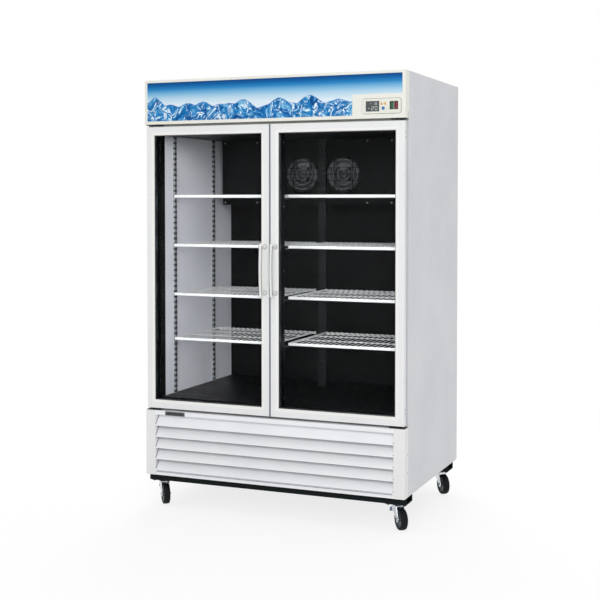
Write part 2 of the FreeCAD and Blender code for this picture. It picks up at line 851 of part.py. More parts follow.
def regular(radius, sides):
    """Corners of a regular outline whose flats lie at the radius."""
    reach = radius / math.cos(math.pi / sides)
    corners = []
    for index in range(sides):
        angle = math.pi * (2 * index + 1) / sides
        corners.append((reach * math.cos(angle), reach * math.sin(angle)))
    return corners


def fan(name, radius):
    """Axial fan about local Z: eight-sided hub with a bore, and pitched blades."""
    rotor = body(name)
    half = S.fan_hub_length / 2
    pad(rotor, "XY", [regular(S.fan_hub_radius, 8)], (-half, half))
    root = S.fan_hub_radius - S.blade_sheet * 2
    shoulder = radius * 0.86
    tip = radius * 0.95
    wide = S.blade_tip_width / 2
    narrow = S.blade_root_width / 2
    outline = [(root, -narrow), (shoulder, -wide), (tip, -wide * 0.5),
               (tip, wide * 0.5), (shoulder, wide), (root, narrow)]
    sketch = draw(rotor, "XY", [outline], 0, None, ((1, 0, 0), S.blade_angle))
    blade = rotor.newObject("PartDesign::Pad", f"{name}_blade")
    blade.Profile = sketch
    bind(blade, "Length", S.blade_sheet)
    blade.Midplane = True
    doc.recompute()
    repeat_round(rotor, blade, "z", S.blade_count)
    pocket(rotor, "XY", [Circle(0, 0, S.shaft_radius + S.shaft_play)], (-half, half))
    return rotor


def fan_places():
    """The local origin of a fan, measured from the plate its motor is fixed to."""
    return S.fan_gap + S.fan_hub_length / 2


def condensing_unit():
    finned_coil("condenser_coil", (S.coil_left, coil_right), (coil_front, coil_back),
                (deck_top, coil_top), int(S.coil_fins.number))
    opening = S.condenser_fan_radius + S.fan_play
    hood = body("condenser_hood")
    pad(hood, "XZ", [rect((S.coil_left, coil_right), (deck_top, coil_top))],
        (coil_back, shroud_back))
    pocket(hood, "XZ",
           [rect((S.coil_left + S.shroud_sheet, coil_right - S.shroud_sheet),
                 (deck_top + S.shroud_sheet, coil_top - S.shroud_sheet))],
           (coil_back, shroud_back - S.shroud_sheet))
    pocket(hood, "XZ", [Circle(condenser_x, condenser_z, opening)],
           (shroud_back - S.shroud_sheet, shroud_back))
    motor = fan_motor("condenser_motor", condenser_x, shroud_back, condenser_z,
                      opening + S.arm_overlap)
    keep(group("condenser_shroud", [hood, motor]), "condenser_shroud")
    rotor = fan("condenser_fan", S.condenser_fan_radius)
    move(rotor, condenser_x, shroud_back + fan_places(), condenser_z, ((1, 0, 0), 90))
    keep(rotor, "condenser_fan")


def compressor():
    """Welded can with a stepped top, on a foot plate."""
    x = S.compressor_x
    y = front + S.compressor_setback
    low = deck_top + S.compressor_foot
    high = deck_top + S.compressor_height
    radius = S.compressor_radius
    shoulder = high - radius * 0.3
    reach = radius * 1.15
    foot = S.compressor_foot
    pieces = [
        prism("compressor_can", radius, shoulder - low, x, y, low, "z", 16),
        prism("compressor_cap", radius * 0.75, high - shoulder, x, y, shoulder, "z", 16),
        box("compressor_plate", (x - reach, x + reach), (y - reach, y + reach),
            (low - S.arm_sheet, low)),
    ]
    for side in (-1, 1):
        for depth in (-1, 1):
            corner_x = x + (reach - foot) * side
            corner_y = y + (reach - foot) * depth
            pieces.append(box("compressor_foot", (corner_x - foot / 2, corner_x + foot / 2),
                              (corner_y - foot / 2, corner_y + foot / 2),
                              (deck_top, low - S.arm_sheet)))
    keep(fuse("compressor", pieces), "compressor")


# ---------------------------------------------------------------- evaporator section

cover_front = liner_back - S.cover_depth
cover_bottom = interior_ceiling - S.cover_height
cover_half_width = liner_half_width - S.cover_gap
fan_z = interior_ceiling - S.fan_drop
fan_xs = (-S.fan_offset, S.fan_offset)


def evaporator_cover():
    """Cover across the back of the cold compartment, with a bar guard per fan."""
    cover = body("evaporator_box")
    half = cover_half_width
    top = interior_ceiling
    pad(cover, "XZ", [rect((-half, half), (cover_bottom, top))], (cover_front, liner_back))
    inside = half - S.cover_sheet
    plate_back = cover_front + S.cover_sheet
    pocket(cover, "XZ",
           [rect((-inside, inside), (cover_bottom + S.cover_sheet, top - S.cover_sheet))],
           (plate_back, liner_back))
    pocket(cover, "XZ", [Circle(x, fan_z, S.fan_opening) for x in fan_xs],
           (cover_front, plate_back))
    wire = S.guard_wire
    reach = S.guard_reach
    guards = []
    for x in fan_xs:
        guard = body("guard")
        for side in (-1, 1):
            stile = x + reach / 2 * side
            pad(guard, "XZ", [rect((stile - wire / 2, stile + wire / 2),
                                   (fan_z - reach, fan_z + reach))],
                (cover_front - wire, cover_front))
        pitch = (reach * 2 - wire) / (S.guard_bars - 1)
        low = fan_z - reach
        bar = pad(guard, "XZ",
                  [rect((x - S.guard_half, x + S.guard_half), (low, low + wire))],
                  (cover_front - wire * 2, cover_front - wire))
        repeat(guard, bar, "z", pitch * (S.guard_bars - 1), S.guard_bars)
        guards.append(guard)
    keep(fuse("evaporator_cover", [cover] + guards), "evaporator_cover")


def evaporator():
    depth_start = liner_back - S.evaporator_clear - S.evaporator_depth
    half = cover_half_width - S.evaporator_inset
    low = cover_bottom + S.evaporator_rise
    finned_coil("evaporator_coil", (-half, half),
                (depth_start, depth_start + S.evaporator_depth),
                (low, low + S.evaporator_height),
                int(S.evaporator_fins.number))
    plate_back = cover_front + S.cover_sheet
    motors = []
    for x in fan_xs:
        motors.append(fan_motor("evaporator_motor", x, plate_back, fan_z,
                                S.fan_opening + S.arm_overlap))
    keep(group("evaporator_motors", motors), "evaporator_motors")
    rotor = fan("evaporator_rotor", S.evaporator_fan_radius)
    for name, x in (("evaporator_fan_left", fan_xs[0]), ("evaporator_fan_right", fan_xs[1])):
        copy = group(name, [rotor])
        move(copy, x, plate_back + fan_places(), fan_z, ((1, 0, 0), 90))
        keep(copy, name)


# ---------------------------------------------------------------- shelves

shelf_front = front + S.shelf_setback
shelf_rear = cover_front - S.shelf_back_gap
shelf_outer = liner_half_width - S.standard_depth - S.shelf_outer_gap
shelf_levels = [interior_ceiling - drop for drop in
                (S.shelf_drop_1, S.shelf_drop_2, S.shelf_drop_3, S.shelf_drop_4)]
standard_ys = (front + S.standard_front, cover_front - S.standard_rear_gap)
rear_standard_y = cover_front - S.standard_depth


def shelf_master():
    """Grid shelf about its own top front inner corner, for the right-hand bay."""
    shelf = body("shelf_master")
    wide = shelf_outer - S.shelf_inner
    rail = S.shelf_rail_sheet
    depth = shelf_rear - shelf_front
    pad(shelf, "XY", [rect((0, wide), (0, depth))], (-S.shelf_wire, 0))
    pitch = (wide - rail) / S.shelf_gaps
    gap = pocket(shelf, "XY", [rect((rail, pitch), (rail, depth - rail))],
                 (-S.shelf_wire, 0))
    repeat(shelf, gap, "x", pitch * (S.shelf_gaps - 1), S.shelf_gaps)
    for y in (0, depth - rail):
        pad(shelf, "XY", [rect((0, wide), (y, y + rail))], (-S.shelf_rail, -S.shelf_wire))
    return shelf


def shelves():
    master = shelf_master()
    for side, start in (("left", -shelf_outer), ("right", S.shelf_inner)):
        for level, z in enumerate(shelf_levels, start=1):
            name = f"shelf_{side}_{level}"
            keep(move(group(name, [master]), start, shelf_front, z), name)


def standard(name, width, x, y, turn):
    """Upright channel about local Z, its open side on the wall at local y = 0."""
    post = body(name)
    half = width / 2
    deep = -S.standard_depth
    sheet_in = half - S.standard_sheet
    profile = [(-half, 0), (-half, deep), (half, deep), (half, 0), (sheet_in, 0),
               (sheet_in, deep + S.standard_sheet), (-sheet_in, deep + S.standard_sheet),
               (-sheet_in, 0)]
    pad(post, "XY", [profile], (interior_floor, interior_ceiling))
    return move(post, x, y, 0, ((0, 0, 1), turn))


def shelf_standards():
    """Two standards on each side wall, one behind the mullion, one at the back."""
    posts = []
    for y in standard_ys:
        posts.append(standard("standard", S.standard_width, -liner_half_width, y, 90))
        posts.append(standard("standard", S.standard_width, liner_half_width, y, -90))
    middle = S.centre_standard_width
    posts.append(standard("standard", middle, 0, cover_front, 0))
    between = body("standard_front")
    half = middle / 2
    low = face + S.mullion_depth
    pad(between, "XY", [rect((-half, half), (low, low + S.standard_depth))],
        (interior_floor, interior_ceiling))
    posts.append(between)
    keep(group("shelf_standards", posts), "shelf_standards")


def shelf_clips():
    """Four clips per shelf, on the side standards and the two middle ones."""
    clips = []
    half = S.clip_width / 2
    wall_face = liner_half_width - S.standard_depth
    tuck = S.shelf_outer_gap + S.clip_width
    reach = (S.shelf_inner - S.clip_width, S.shelf_inner + half)
    front_low = face + S.mullion_depth + S.standard_depth
    for z in shelf_levels:
        side_top = z - S.shelf_wire
        height = (side_top - S.clip_height, side_top)
        for y in standard_ys:
            depth = (y - half, y + half)
            clips.append(box("clip", (-wall_face, tuck - wall_face), depth, height))
            clips.append(box("clip", (wall_face - tuck, wall_face), depth, height))
        rail_bottom = z - S.shelf_rail
        height = (rail_bottom - S.clip_height, rail_bottom)
        for x in (reach, (-reach[1], -reach[0])):
            clips.append(box("clip", x, (front_low, shelf_front + half), height))
            clips.append(box("clip", x, (shelf_rear - half, rear_standard_y), height))
    keep(group("shelf_clips", clips), "shelf_clips")


# ---------------------------------------------------------------- doors

bore_depth = S.pin_reach + S.pin_end_play


def door_frame():
    """White door frame: profile with a glass rebate, and the two hinge bores."""
    frame = body("door_frame_left")
    width = S.frame_width
    outer = rect((-door_outer, -door_inner), (door_bottom, door_top))
    opening = rect((width - door_outer, -door_inner - width),
                   (door_bottom + width, door_top - width))
    pad(frame, "XZ", [outer, opening], (door_front, door_back))
    seat = width - S.glass_bite
    rebate = rect((seat - door_outer, -door_inner - seat),
                  (door_bottom + seat, door_top - seat))
    pocket(frame, "XZ", [rebate], (door_front + S.frame_lip, door_back))

    def outer_rim(edge):
        point = edge.CenterOfMass
        on_side = near(point.x, -door_outer) or near(point.x, -door_inner)
        on_end = near(point.z, door_bottom) or near(point.z, door_top)
        return near(point.y, door_front) and (on_side or on_end)

    def inner_rim(edge):
        return near(edge.CenterOfMass.y, door_front) and not outer_rim(edge)

    bevel_edges(frame, S.frame_bevel, inner_rim)
    round_edges(frame, S.frame_round, outer_rim)
    bore = [Circle(-hinge_x, hinge_y, S.pin_radius + S.pin_play)]
    pocket(frame, "XY", bore, (door_bottom, door_bottom + bore_depth))
    pocket(frame, "XY", bore, (door_top - bore_depth, door_top))
    keep(frame, "door_frame_left")
    keep(mirrored("door_frame_right", frame), "door_frame_right")


def door_glass():
    """Insulating unit: two panes with a spacer frame between their edges."""
    seat = S.frame_width - S.glass_bite
    x = (seat - door_outer, -door_inner - seat)
    z = (door_bottom + seat, door_top - seat)
    start = door_front + S.frame_lip
    end = start + S.glass_unit
    spacer = body("spacer_left")
    ring = rect((x[0] + S.spacer_width, x[1] - S.spacer_width),
                (z[0] + S.spacer_width, z[1] - S.spacer_width))
    pad(spacer, "XZ", [rect(x, z), ring], (start + S.pane, end - S.pane))
    left = group("door_glass_left", [
        box("pane_front", x, (start, start + S.pane), z),
        box("pane_back", x, (end - S.pane, end), z),
        spacer,
    ])
    keep(left, "door_glass_left")
    keep(mirrored("door_glass_right", left), "door_glass_right")


def door_gasket():
    """Magnet gasket on the back of the frame, narrower where it meets the cabinet."""
    gasket = body("door_gasket_left")
    inset = S.gasket_inset
    inner = inset + S.gasket_width
    step = S.gasket_step
    end = face - S.seal_gap
    middle = (door_back + end) / 2
    for low, high, slim in ((door_back, middle, 0), (middle, end, step)):
        outer = rect((inset + slim - door_outer, -door_inner - inset - slim),
                     (door_bottom + inset + slim, door_top - inset - slim))
        hole = rect((inner - slim - door_outer, -door_inner - inner + slim),
                    (door_bottom + inner - slim, door_top - inner + slim))
        pad(gasket, "XZ", [outer, hole], (low, high))
    keep(gasket, "door_gasket_left")
    keep(mirrored("door_gasket_right", gasket), "door_gasket_right")


def door_handle():
    """Bow handle: a bowed grip with bevelled front edges, on two feet with bosses."""
    grip = body("handle_grip")
    x = -S.handle_offset
    low = door_bottom + S.handle_rise
    high = low + S.handle_height
    tip = door_front - S.handle_reach + S.handle_bow
    inner = tip + S.handle_thickness
    side_view = [(tip, high), (tip, low), (inner, low), (inner, high)]
    pad(grip, "YZ", [side_view], (x - S.handle_width / 2, x + S.handle_width / 2),
        {0: S.handle_bow, 2: -S.handle_bow})

    def front_edge(edge):
        is_long = edge.Length > float(S.handle_height) * 0.9
        return is_long and edge.CenterOfMass.y < float(tip)

    bevel_edges(grip, S.handle_bevel, front_edge)
    middle = (low + high) / 2
    feet = []
    for side in (-1, 1):
        z = middle + S.foot_spacing / 2 * side
        feet.append(prism("handle_foot", S.foot_radius, S.foot_length,
                          x, door_front - S.foot_length, z, "y"))
        feet.append(prism("handle_boss", S.boss_radius, S.boss_length,
                          x, door_front - S.boss_length, z, "y"))
    left = keep(fuse("door_handle_left", [grip] + feet), "door_handle_left")
    keep(mirrored("door_handle_right", left), "door_handle_right")


def collar(name, z):
    """Six-sided collar round the hinge pin."""
    ring = body(name)
    outline = [(dx - hinge_x, dy + hinge_y) for dx, dy in regular(S.collar_radius, 6)]
    pad(ring, "XY", [outline], z)
    return ring


def hinge_brackets():
    """Hinge plates on the posts and under the header, each with its collar and pin."""
    inner = half_width - S.bracket_reach
    plate_x = (-half_width + S.bracket_inset, -inner)
    plate_y = (front + S.bracket_front, front + S.bracket_back)
    low = S.lower_top
    high = header_bottom
    lower = fuse("hinge_lower", [
        box("hinge_lower_plate", plate_x, plate_y, (low, low + S.bracket_sheet)),
        collar("hinge_lower_collar", (low, door_bottom - S.running_gap)),
        prism("hinge_lower_pin", S.pin_radius,
              door_bottom + S.pin_reach - low, -hinge_x, hinge_y, low),
    ])
    upper_end = door_top - S.pin_reach
    upper = fuse("hinge_upper", [
        box("hinge_upper_plate", plate_x, plate_y, (high - S.bracket_sheet, high)),
        collar("hinge_upper_collar", (door_top + S.running_gap, high)),
        prism("hinge_upper_pin", S.pin_radius, high - upper_end,
              -hinge_x, hinge_y, upper_end),
    ])
    keep(group("hinge_brackets", [lower, upper,
                                  mirrored("hinge_lower_right", lower),
                                  mirrored("hinge_upper_right", upper)]), "hinge_brackets")


# ---------------------------------------------------------------- casters

caster_x = half_width - S.caster_inset
caster_places = {
    "front_left": (-caster_x, front + S.caster_front),
    "front_right": (caster_x, front + S.caster_front),
    "rear_left": (-caster_x, back - S.caster_back),
    "rear_right": (caster_x, back - S.caster_back),
}
fork_top = S.caster_height - S.plate_sheet - S.race_height - S.running_gap
brake_z = fork_top - S.brake_drop
caster_turn = ((0, 0, 1), S.caster_turn)
fork_inside = S.wheel_width / 2 + S.wheel_side_play
fork_outside = fork_inside + S.fork_sheet


def pin_outline(x, z, radius):
    """Eight corners at the radius, for a pin that runs in a round bore."""
    flats = radius * math.cos(math.pi / 8)
    return [(x + dx, z + dz) for dx, dz in regular(flats, 8)]


def race_housing(x, y, z):
    """Eight-sided housing of the swivel bearing."""
    housing = body("caster_race")
    outline = [(x + dx, y + dy) for dx, dy in regular(S.race_radius, 8)]
    pad(housing, "XY", [outline], z)
    return housing


def caster_plates():
    """Top plates under the channels, each with its ball race and kingpin."""
    plates = []
    top = channel_bottom
    for x, y in caster_places.values():
        under = top - S.plate_sheet
        race = under - S.race_height
        half_x = S.plate_length / 2
        half_y = S.plate_width / 2
        plates.append(fuse("caster_plate", [
            box("caster_top", (x - half_x, x + half_x), (y - half_y, y + half_y),
                (under, top)),
            race_housing(x, y, (race, under)),
            prism("caster_kingpin", S.kingpin_radius,
                  top - fork_top + S.fork_sheet * 1.6, x, y,
                  fork_top - S.fork_sheet * 1.6),
        ]))
    keep(group("caster_plates", plates), "caster_plates")


def fork_master(name, has_brake):
    """Stamped fork about the kingpin: crown, two legs, axle bolt and brake pin."""
    fork = body(name)
    top = fork_top
    under = top - S.fork_sheet * 1.5
    reach = S.fork_half_length
    pad(fork, "XY", [rect((-reach, reach), (-fork_outside, fork_outside))], (under, top))
    axle_x = S.caster_trail
    axle_z = S.wheel_radius
    end = S.fork_end_radius
    tip = axle_z - end
    leg = [
        (-reach, top), (-reach, brake_z - S.brake_boss),
        (-S.brake_boss / 2, brake_z - S.brake_boss * 1.6),
        (axle_x - end, axle_z), (axle_x - end * 0.7, tip + end * 0.3),
        (axle_x - end * 0.25, tip), (axle_x + end * 0.25, tip),
        (axle_x + end * 0.7, tip + end * 0.3), (axle_x + end, axle_z), (reach, top),
    ]
    for start in (fork_inside, -fork_outside):
        pad(fork, "XZ", [leg], (start, start + S.fork_sheet))
    head = [(axle_x + dx, axle_z + dz) for dx, dz in regular(S.bolt_radius, 6)]
    bolt = fork_outside + S.fork_sheet
    for span in ((-bolt, -fork_outside), (fork_outside, bolt)):
        pad(fork, "XZ", [head], span)
    pad(fork, "XZ", [pin_outline(axle_x, axle_z, S.axle_radius)],
        (-fork_inside, fork_inside))
    if has_brake:
        pad(fork, "XZ", [pin_outline(S.brake_x, brake_z, S.brake_pin_radius)],
            (-fork_inside, fork_inside))
    pocket(fork, "XY", [Circle(0, 0, S.kingpin_radius + S.pin_play)], (under, top))
    return fork


def wheel_master():
    """Wheel about its own axle, with its bore."""
    wheel = body("wheel_master")
    half = S.wheel_width / 2
    bore = S.axle_radius + S.axle_play
    pad(wheel, "XZ", [Circle(0, 0, S.wheel_radius), Circle(0, 0, bore)], (-half, half))
    return wheel


def brake_master():
    """Brake pedal about its pin: a bored block with the pedal plate."""
    pedal = body("brake_master")
    half = S.brake_width / 2
    reach = -S.brake_reach
    thick = S.brake_sheet
    boss = S.brake_boss
    slope = boss / 2
    outline = [(boss, slope), (slope, boss), (reach * 0.45, boss), (reach, -thick),
               (reach, -thick * 2), (reach * 0.45, boss - thick), (-boss, slope - boss),
               (-slope, -boss), (slope, -boss), (boss, -slope)]
    pad(pedal, "XZ", [outline], (-half, half))
    pocket(pedal, "XZ", [Circle(0, 0, S.brake_pin_radius + S.axle_play)], (-half, half))
    return pedal


def casters():
    """Four casters that trail the same way, brakes on the front pair."""
    forks = {"front": fork_master("fork_front", True), "rear": fork_master("fork_rear", False)}
    wheel = wheel_master()
    pedal = brake_master()
    angle = math.radians(S.caster_turn.number)
    trail_x = S.caster_trail * math.cos(angle)
    trail_y = S.caster_trail * math.sin(angle)
    pin_x = S.brake_x * math.cos(angle)
    pin_y = S.brake_x * math.sin(angle)
    for place, (x, y) in caster_places.items():
        fork = forks[place.split("_")[0]]
        keep(move(group(f"caster_fork_{place}", [fork]), x, y, 0, caster_turn),
             f"caster_fork_{place}")
        keep(move(group(f"caster_wheel_{place}", [wheel]), x + trail_x, y + trail_y,
                  S.wheel_radius, caster_turn), f"caster_wheel_{place}")
        if place.startswith("front"):
            side = place.split("_")[1]
            keep(move(group(f"brake_lever_{side}", [pedal]), x + pin_x, y + pin_y,
                      brake_z, caster_turn), f"brake_lever_{side}")


# ---------------------------------------------------------------- build and write

def check_document():
    """Stops before anything is written if an object failed or a shape is bad."""
    doc.recompute()
    for thing in doc.Objects:
        if "Invalid" in thing.State or "Error" in thing.State:
            raise RuntimeError(f"{thing.Label} failed: {thing.State}")
    for thing in subparts:
        shape = thing.Shape
        if shape.isNull() or not shape.isValid() or not shape.Solids:
            raise RuntimeError(f"{thing.Label} has no valid solid")


def write_subparts():
    os.makedirs("parts", exist_ok=True)
    for thing in subparts:
        thing.Shape.exportStep(f"parts/{thing.Label}.step")
        print(thing.Label, len(thing.Shape.Solids), "solids",
              round(thing.Shape.Volume / 1000, 1), "cm3")


for make in (side_panels, back_panel, foam_core, inner_liner, top_cover, breaker_frame,
             center_mullion, header_housing, sign_panel, sign_lamp, control_panel,
             control_bezel, push_buttons, rockers, corner_posts, louver_grille, base_frame,
             condensing_unit, compressor, evaporator_cover, evaporator, shelves,
             shelf_standards, shelf_clips, door_frame, door_glass, door_gasket,
             door_handle, hinge_brackets, caster_plates, casters):
    make()
check_document()
write_subparts()
print(len(subparts), "sub-parts")
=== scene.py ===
import math

import bmesh
import bpy
from mathutils import Matrix, Vector


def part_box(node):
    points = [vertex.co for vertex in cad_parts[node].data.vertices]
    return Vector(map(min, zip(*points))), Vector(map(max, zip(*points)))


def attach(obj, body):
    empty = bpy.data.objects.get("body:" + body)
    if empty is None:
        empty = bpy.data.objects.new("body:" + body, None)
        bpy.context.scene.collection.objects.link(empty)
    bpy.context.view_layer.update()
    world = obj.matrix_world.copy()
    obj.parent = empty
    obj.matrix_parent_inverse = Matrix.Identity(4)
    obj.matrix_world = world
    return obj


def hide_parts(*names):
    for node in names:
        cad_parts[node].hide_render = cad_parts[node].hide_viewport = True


# Looks of an upright freezer merchandiser with two glass doors, on four casters.
# Metres. X runs to the viewer's right, Y towards the back, Z up.

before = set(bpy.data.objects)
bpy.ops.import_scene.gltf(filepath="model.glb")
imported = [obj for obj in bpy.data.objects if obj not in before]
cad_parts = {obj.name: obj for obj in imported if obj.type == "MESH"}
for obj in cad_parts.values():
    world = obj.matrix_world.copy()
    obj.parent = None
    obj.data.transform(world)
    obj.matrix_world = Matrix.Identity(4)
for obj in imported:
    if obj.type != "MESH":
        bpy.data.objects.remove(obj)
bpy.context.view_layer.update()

# faces of the header and grille, the doors, the control module and the back panel
FRONT, DOOR_FRONT, MODULE_FACE, BACK = -0.4095, -0.4035, -0.4125, 0.4555
TO_FRONT = (0, -1, 0)
SIDES = (("left", -1), ("right", 1))
# middle and half size of a door, in x from the cabinet's middle and in z
DOOR_X, DOOR_HALF_WIDTH = 0.3155, 0.3135
DOOR_Z, DOOR_HALF_HEIGHT = 1.1175, 0.6575
GRIP_X, GRIP_LOW, GRIP_HIGH = 0.026, 1.001, 1.241
GRIP_FEET = [(GRIP_LOW + GRIP_HIGH) / 2 + reach for reach in (-0.104, 0.104)]
SIGN_LOW, SIGN_HIGH = 1.798, 1.980
# name, x, z, radius and colour of each button; name, x and colour of each rocker
BUTTONS = (("up", 0.528, 1.847, 0.005, "orange"), ("down", 0.544, 1.847, 0.005, "orange"),
           ("set", 0.536, 1.828, 0.007, "blue"))
ROCKERS = (("light", 0.574, "green"), ("power", 0.5935, "red"))
ROCKER_Z = 1.840
EVAPORATOR_FAN_X, EVAPORATOR_FAN_Z = 0.110, 1.563
GRILLE_HALF_WIDTH = 0.585
LOUVRE_DROPS = [-0.0525 * row for row in range(5)]
CORNERS = ("front_left", "front_right", "rear_left", "rear_right")
CASTER_X, CASTER_FRONT_Y, CASTER_REAR_Y, AXLE_Z = 0.582, -0.3315, 0.3475, 0.0475
AXLE_TURN = Matrix.Rotation(math.radians(-50), 4, "Z")


# ---------------- materials

def linear(text):
    """A hexadecimal sRGB colour as opaque linear RGBA."""
    values = [int(text[i:i + 2], 16) / 255 for i in (0, 2, 4)]
    return [v / 12.92 if v <= 0.04045 else ((v + 0.055) / 1.055) ** 2.4 for v in values] + [1.0]


def feed(tree, source, target):
    """Links an output to an input, or sets a plain value on it."""
    if hasattr(source, "is_output"):
        tree.links.new(source, target)
    else:
        target.default_value = source


def node(tree, kind, inputs, **settings):
    """Makes a shader node with its settings and inputs, and gives its outputs."""
    made = tree.nodes.new("ShaderNode" + kind)
    for name, value in settings.items():
        setattr(made, name, value)
    for socket, source in inputs.items():
        feed(tree, source, made.inputs[socket])
    return made.outputs


class Paint:
    """A node material, built step by step on one principled shader."""

    def __init__(self, name, colour, rough=0.5, metal=0.0, **sockets):
        self.material = bpy.data.materials.new(name)
        self.material.use_nodes = True
        self.tree = self.material.node_tree
        self.shader = self.tree.nodes["Principled BSDF"]
        self.shader.inputs["Base Color"].default_value = linear(colour)
        self.shader.inputs["Roughness"].default_value = rough
        self.shader.inputs["Metallic"].default_value = metal
        for socket, value in sockets.items():
            self.shader.inputs[socket.replace("_", " ")].default_value = value
        self.place = self.node("TexCoord", {})["Object"]

    def node(self, kind, inputs, **settings):
        return node(self.tree, kind, inputs, **settings)

    def math(self, operation, a, b=0.0):
        return self.node("Math", {0: a, 1: b}, operation=operation)[0]

    def axes(self):
        return self.node("SeparateXYZ", {0: self.place})

    def stretched(self, x, y, z):
        return self.node("Mapping", {"Vector": self.place, "Scale": (x, y, z)})[0]

    def noise(self, scale, detail=2.0, rough=0.5, place=None, distortion=0.0, output=0):
        return self.node("TexNoise", {
            "Vector": place or self.place, "Scale": scale, "Detail": detail,
            "Roughness": rough, "Distortion": distortion})[output]

    def cells(self, scale, feature, place, output="Distance", **inputs):
        inputs = {"Vector": place, "Scale": scale, **inputs}
        return self.node("TexVoronoi", inputs, feature=feature)[output]

    def spread(self, value, low, high, to_low=0.0, to_high=1.0):
        """The value with low to high stretched to another range."""
        return self.node("MapRange", dict(enumerate((value, low, high, to_low, to_high))))[0]

    def ramp(self, value, *stops):
        output = self.node("ValToRGB", {0: value})[0]
        band = output.node.color_ramp.elements
        while len(band) < len(stops):
            band.new(0.5)
        for element, (position, colour) in zip(band, stops):
            element.position = position
            element.color = linear(colour)
        return output

    def mix(self, share, a, b):
        a, b = (linear(colour) if isinstance(colour, str) else colour for colour in (a, b))
        return self.node("Mix", {0: share, 6: a, 7: b}, data_type="RGBA")[2]

    def base(self):
        """What feeds the base colour so far."""
        return self.shader.inputs["Base Color"].links[0].from_socket

    def colour(self, output):
        feed(self.tree, output, self.shader.inputs["Base Color"])
        return self

    def rough(self, output):
        feed(self.tree, output, self.shader.inputs["Roughness"])
        return self

    def bump(self, height, strength, depth):
        relief = self.node("Bump", {"Strength": strength, "Distance": depth, "Height": height})
        feed(self.tree, relief[0], self.shader.inputs["Normal"])
        return self


def coated(name, colour, shade, rough, peel=620, strength=0.12, **sockets):
    """Powder-coated sheet: faint clouding, orange peel, uneven gloss."""
    paint = Paint(name, colour, rough, **sockets)
    cloud = paint.noise(2.6, 4, 0.6)
    paint.colour(paint.ramp(cloud, (0.3, shade), (0.62, colour)))
    paint.rough(paint.spread(paint.noise(38, 3), 0.3, 0.7, rough - 0.07, rough + 0.07))
    return paint.bump(paint.noise(peel, 2, 0.6), strength, 0.0004)


def moulded(name, colour, shade, rough=0.45, grain=1500, strength=0.15, **sockets):
    """Moulded plastic with a fine spark-eroded grain."""
    paint = Paint(name, colour, rough, **sockets)
    paint.colour(paint.ramp(paint.noise(14, 3), (0.35, shade), (0.65, colour)))
    paint.rough(paint.spread(paint.noise(90, 2), 0.3, 0.7, rough - 0.08, rough + 0.08))
    return paint.bump(paint.noise(grain, 2), strength, 0.0002)


def metal(name, colour, shade, rough=0.3, along=(1, 1, 30), strength=0.1, scale=160):
    """Bare or plated metal with drawn streaks and dull patches."""
    paint = Paint(name, colour, rough, 1.0)
    streaks = paint.noise(scale, 3, 0.6, paint.stretched(*along))
    paint.colour(paint.ramp(paint.noise(20, 4), (0.35, shade), (0.65, colour)))
    paint.rough(paint.spread(streaks, 0.3, 0.7, rough - 0.1, rough + 0.12))
    return paint.bump(streaks, strength, 0.0002)


def door_paint():
    """White frame paint: painted highlight on the inner lip, mitre joints, painted shade along the
    meeting edge.
    """
    lip = -0.0270
    paint = coated("door_paint", "eeefef", "e9eaeb", 0.34)
    x, _, z = paint.axes()
    from_middle = paint.math("ABSOLUTE", x)
    across = paint.math("ABSOLUTE", paint.math("SUBTRACT", from_middle, DOOR_X))
    up = paint.math("ABSOLUTE", paint.math("SUBTRACT", z, DOOR_Z))
    from_side = paint.math("SUBTRACT", across, DOOR_HALF_WIDTH)
    from_end = paint.math("SUBTRACT", up, DOOR_HALF_HEIGHT)
    off = paint.math("ABSOLUTE", paint.math("SUBTRACT", from_side, from_end))
    joint = paint.spread(off, 0.0002, 0.0011, 1.0, 0.0)
    edge = paint.math("MAXIMUM", from_side, from_end)
    # painted highlight: the lip along the glass is painted brighter than the frame's face
    base = paint.mix(paint.math("LESS_THAN", edge, lip), paint.base(), "f5f5f2")
    # painted shade: blue-grey along the meeting stiles stands in for the shade in the gap between
    # the doors
    meeting = paint.spread(from_middle, 0.0032, 0.0054, 0.9, 0.0)
    base = paint.mix(meeting, base, "93a0ab")
    paint.colour(paint.mix(paint.math("MULTIPLY", joint, 0.5), base, "b4b6b8"))
    peel = paint.noise(620, 2, 0.6)
    height = paint.math("SUBTRACT", paint.math("MULTIPLY", peel, 0.25), joint)
    return paint.bump(height, 0.35, 0.0004)


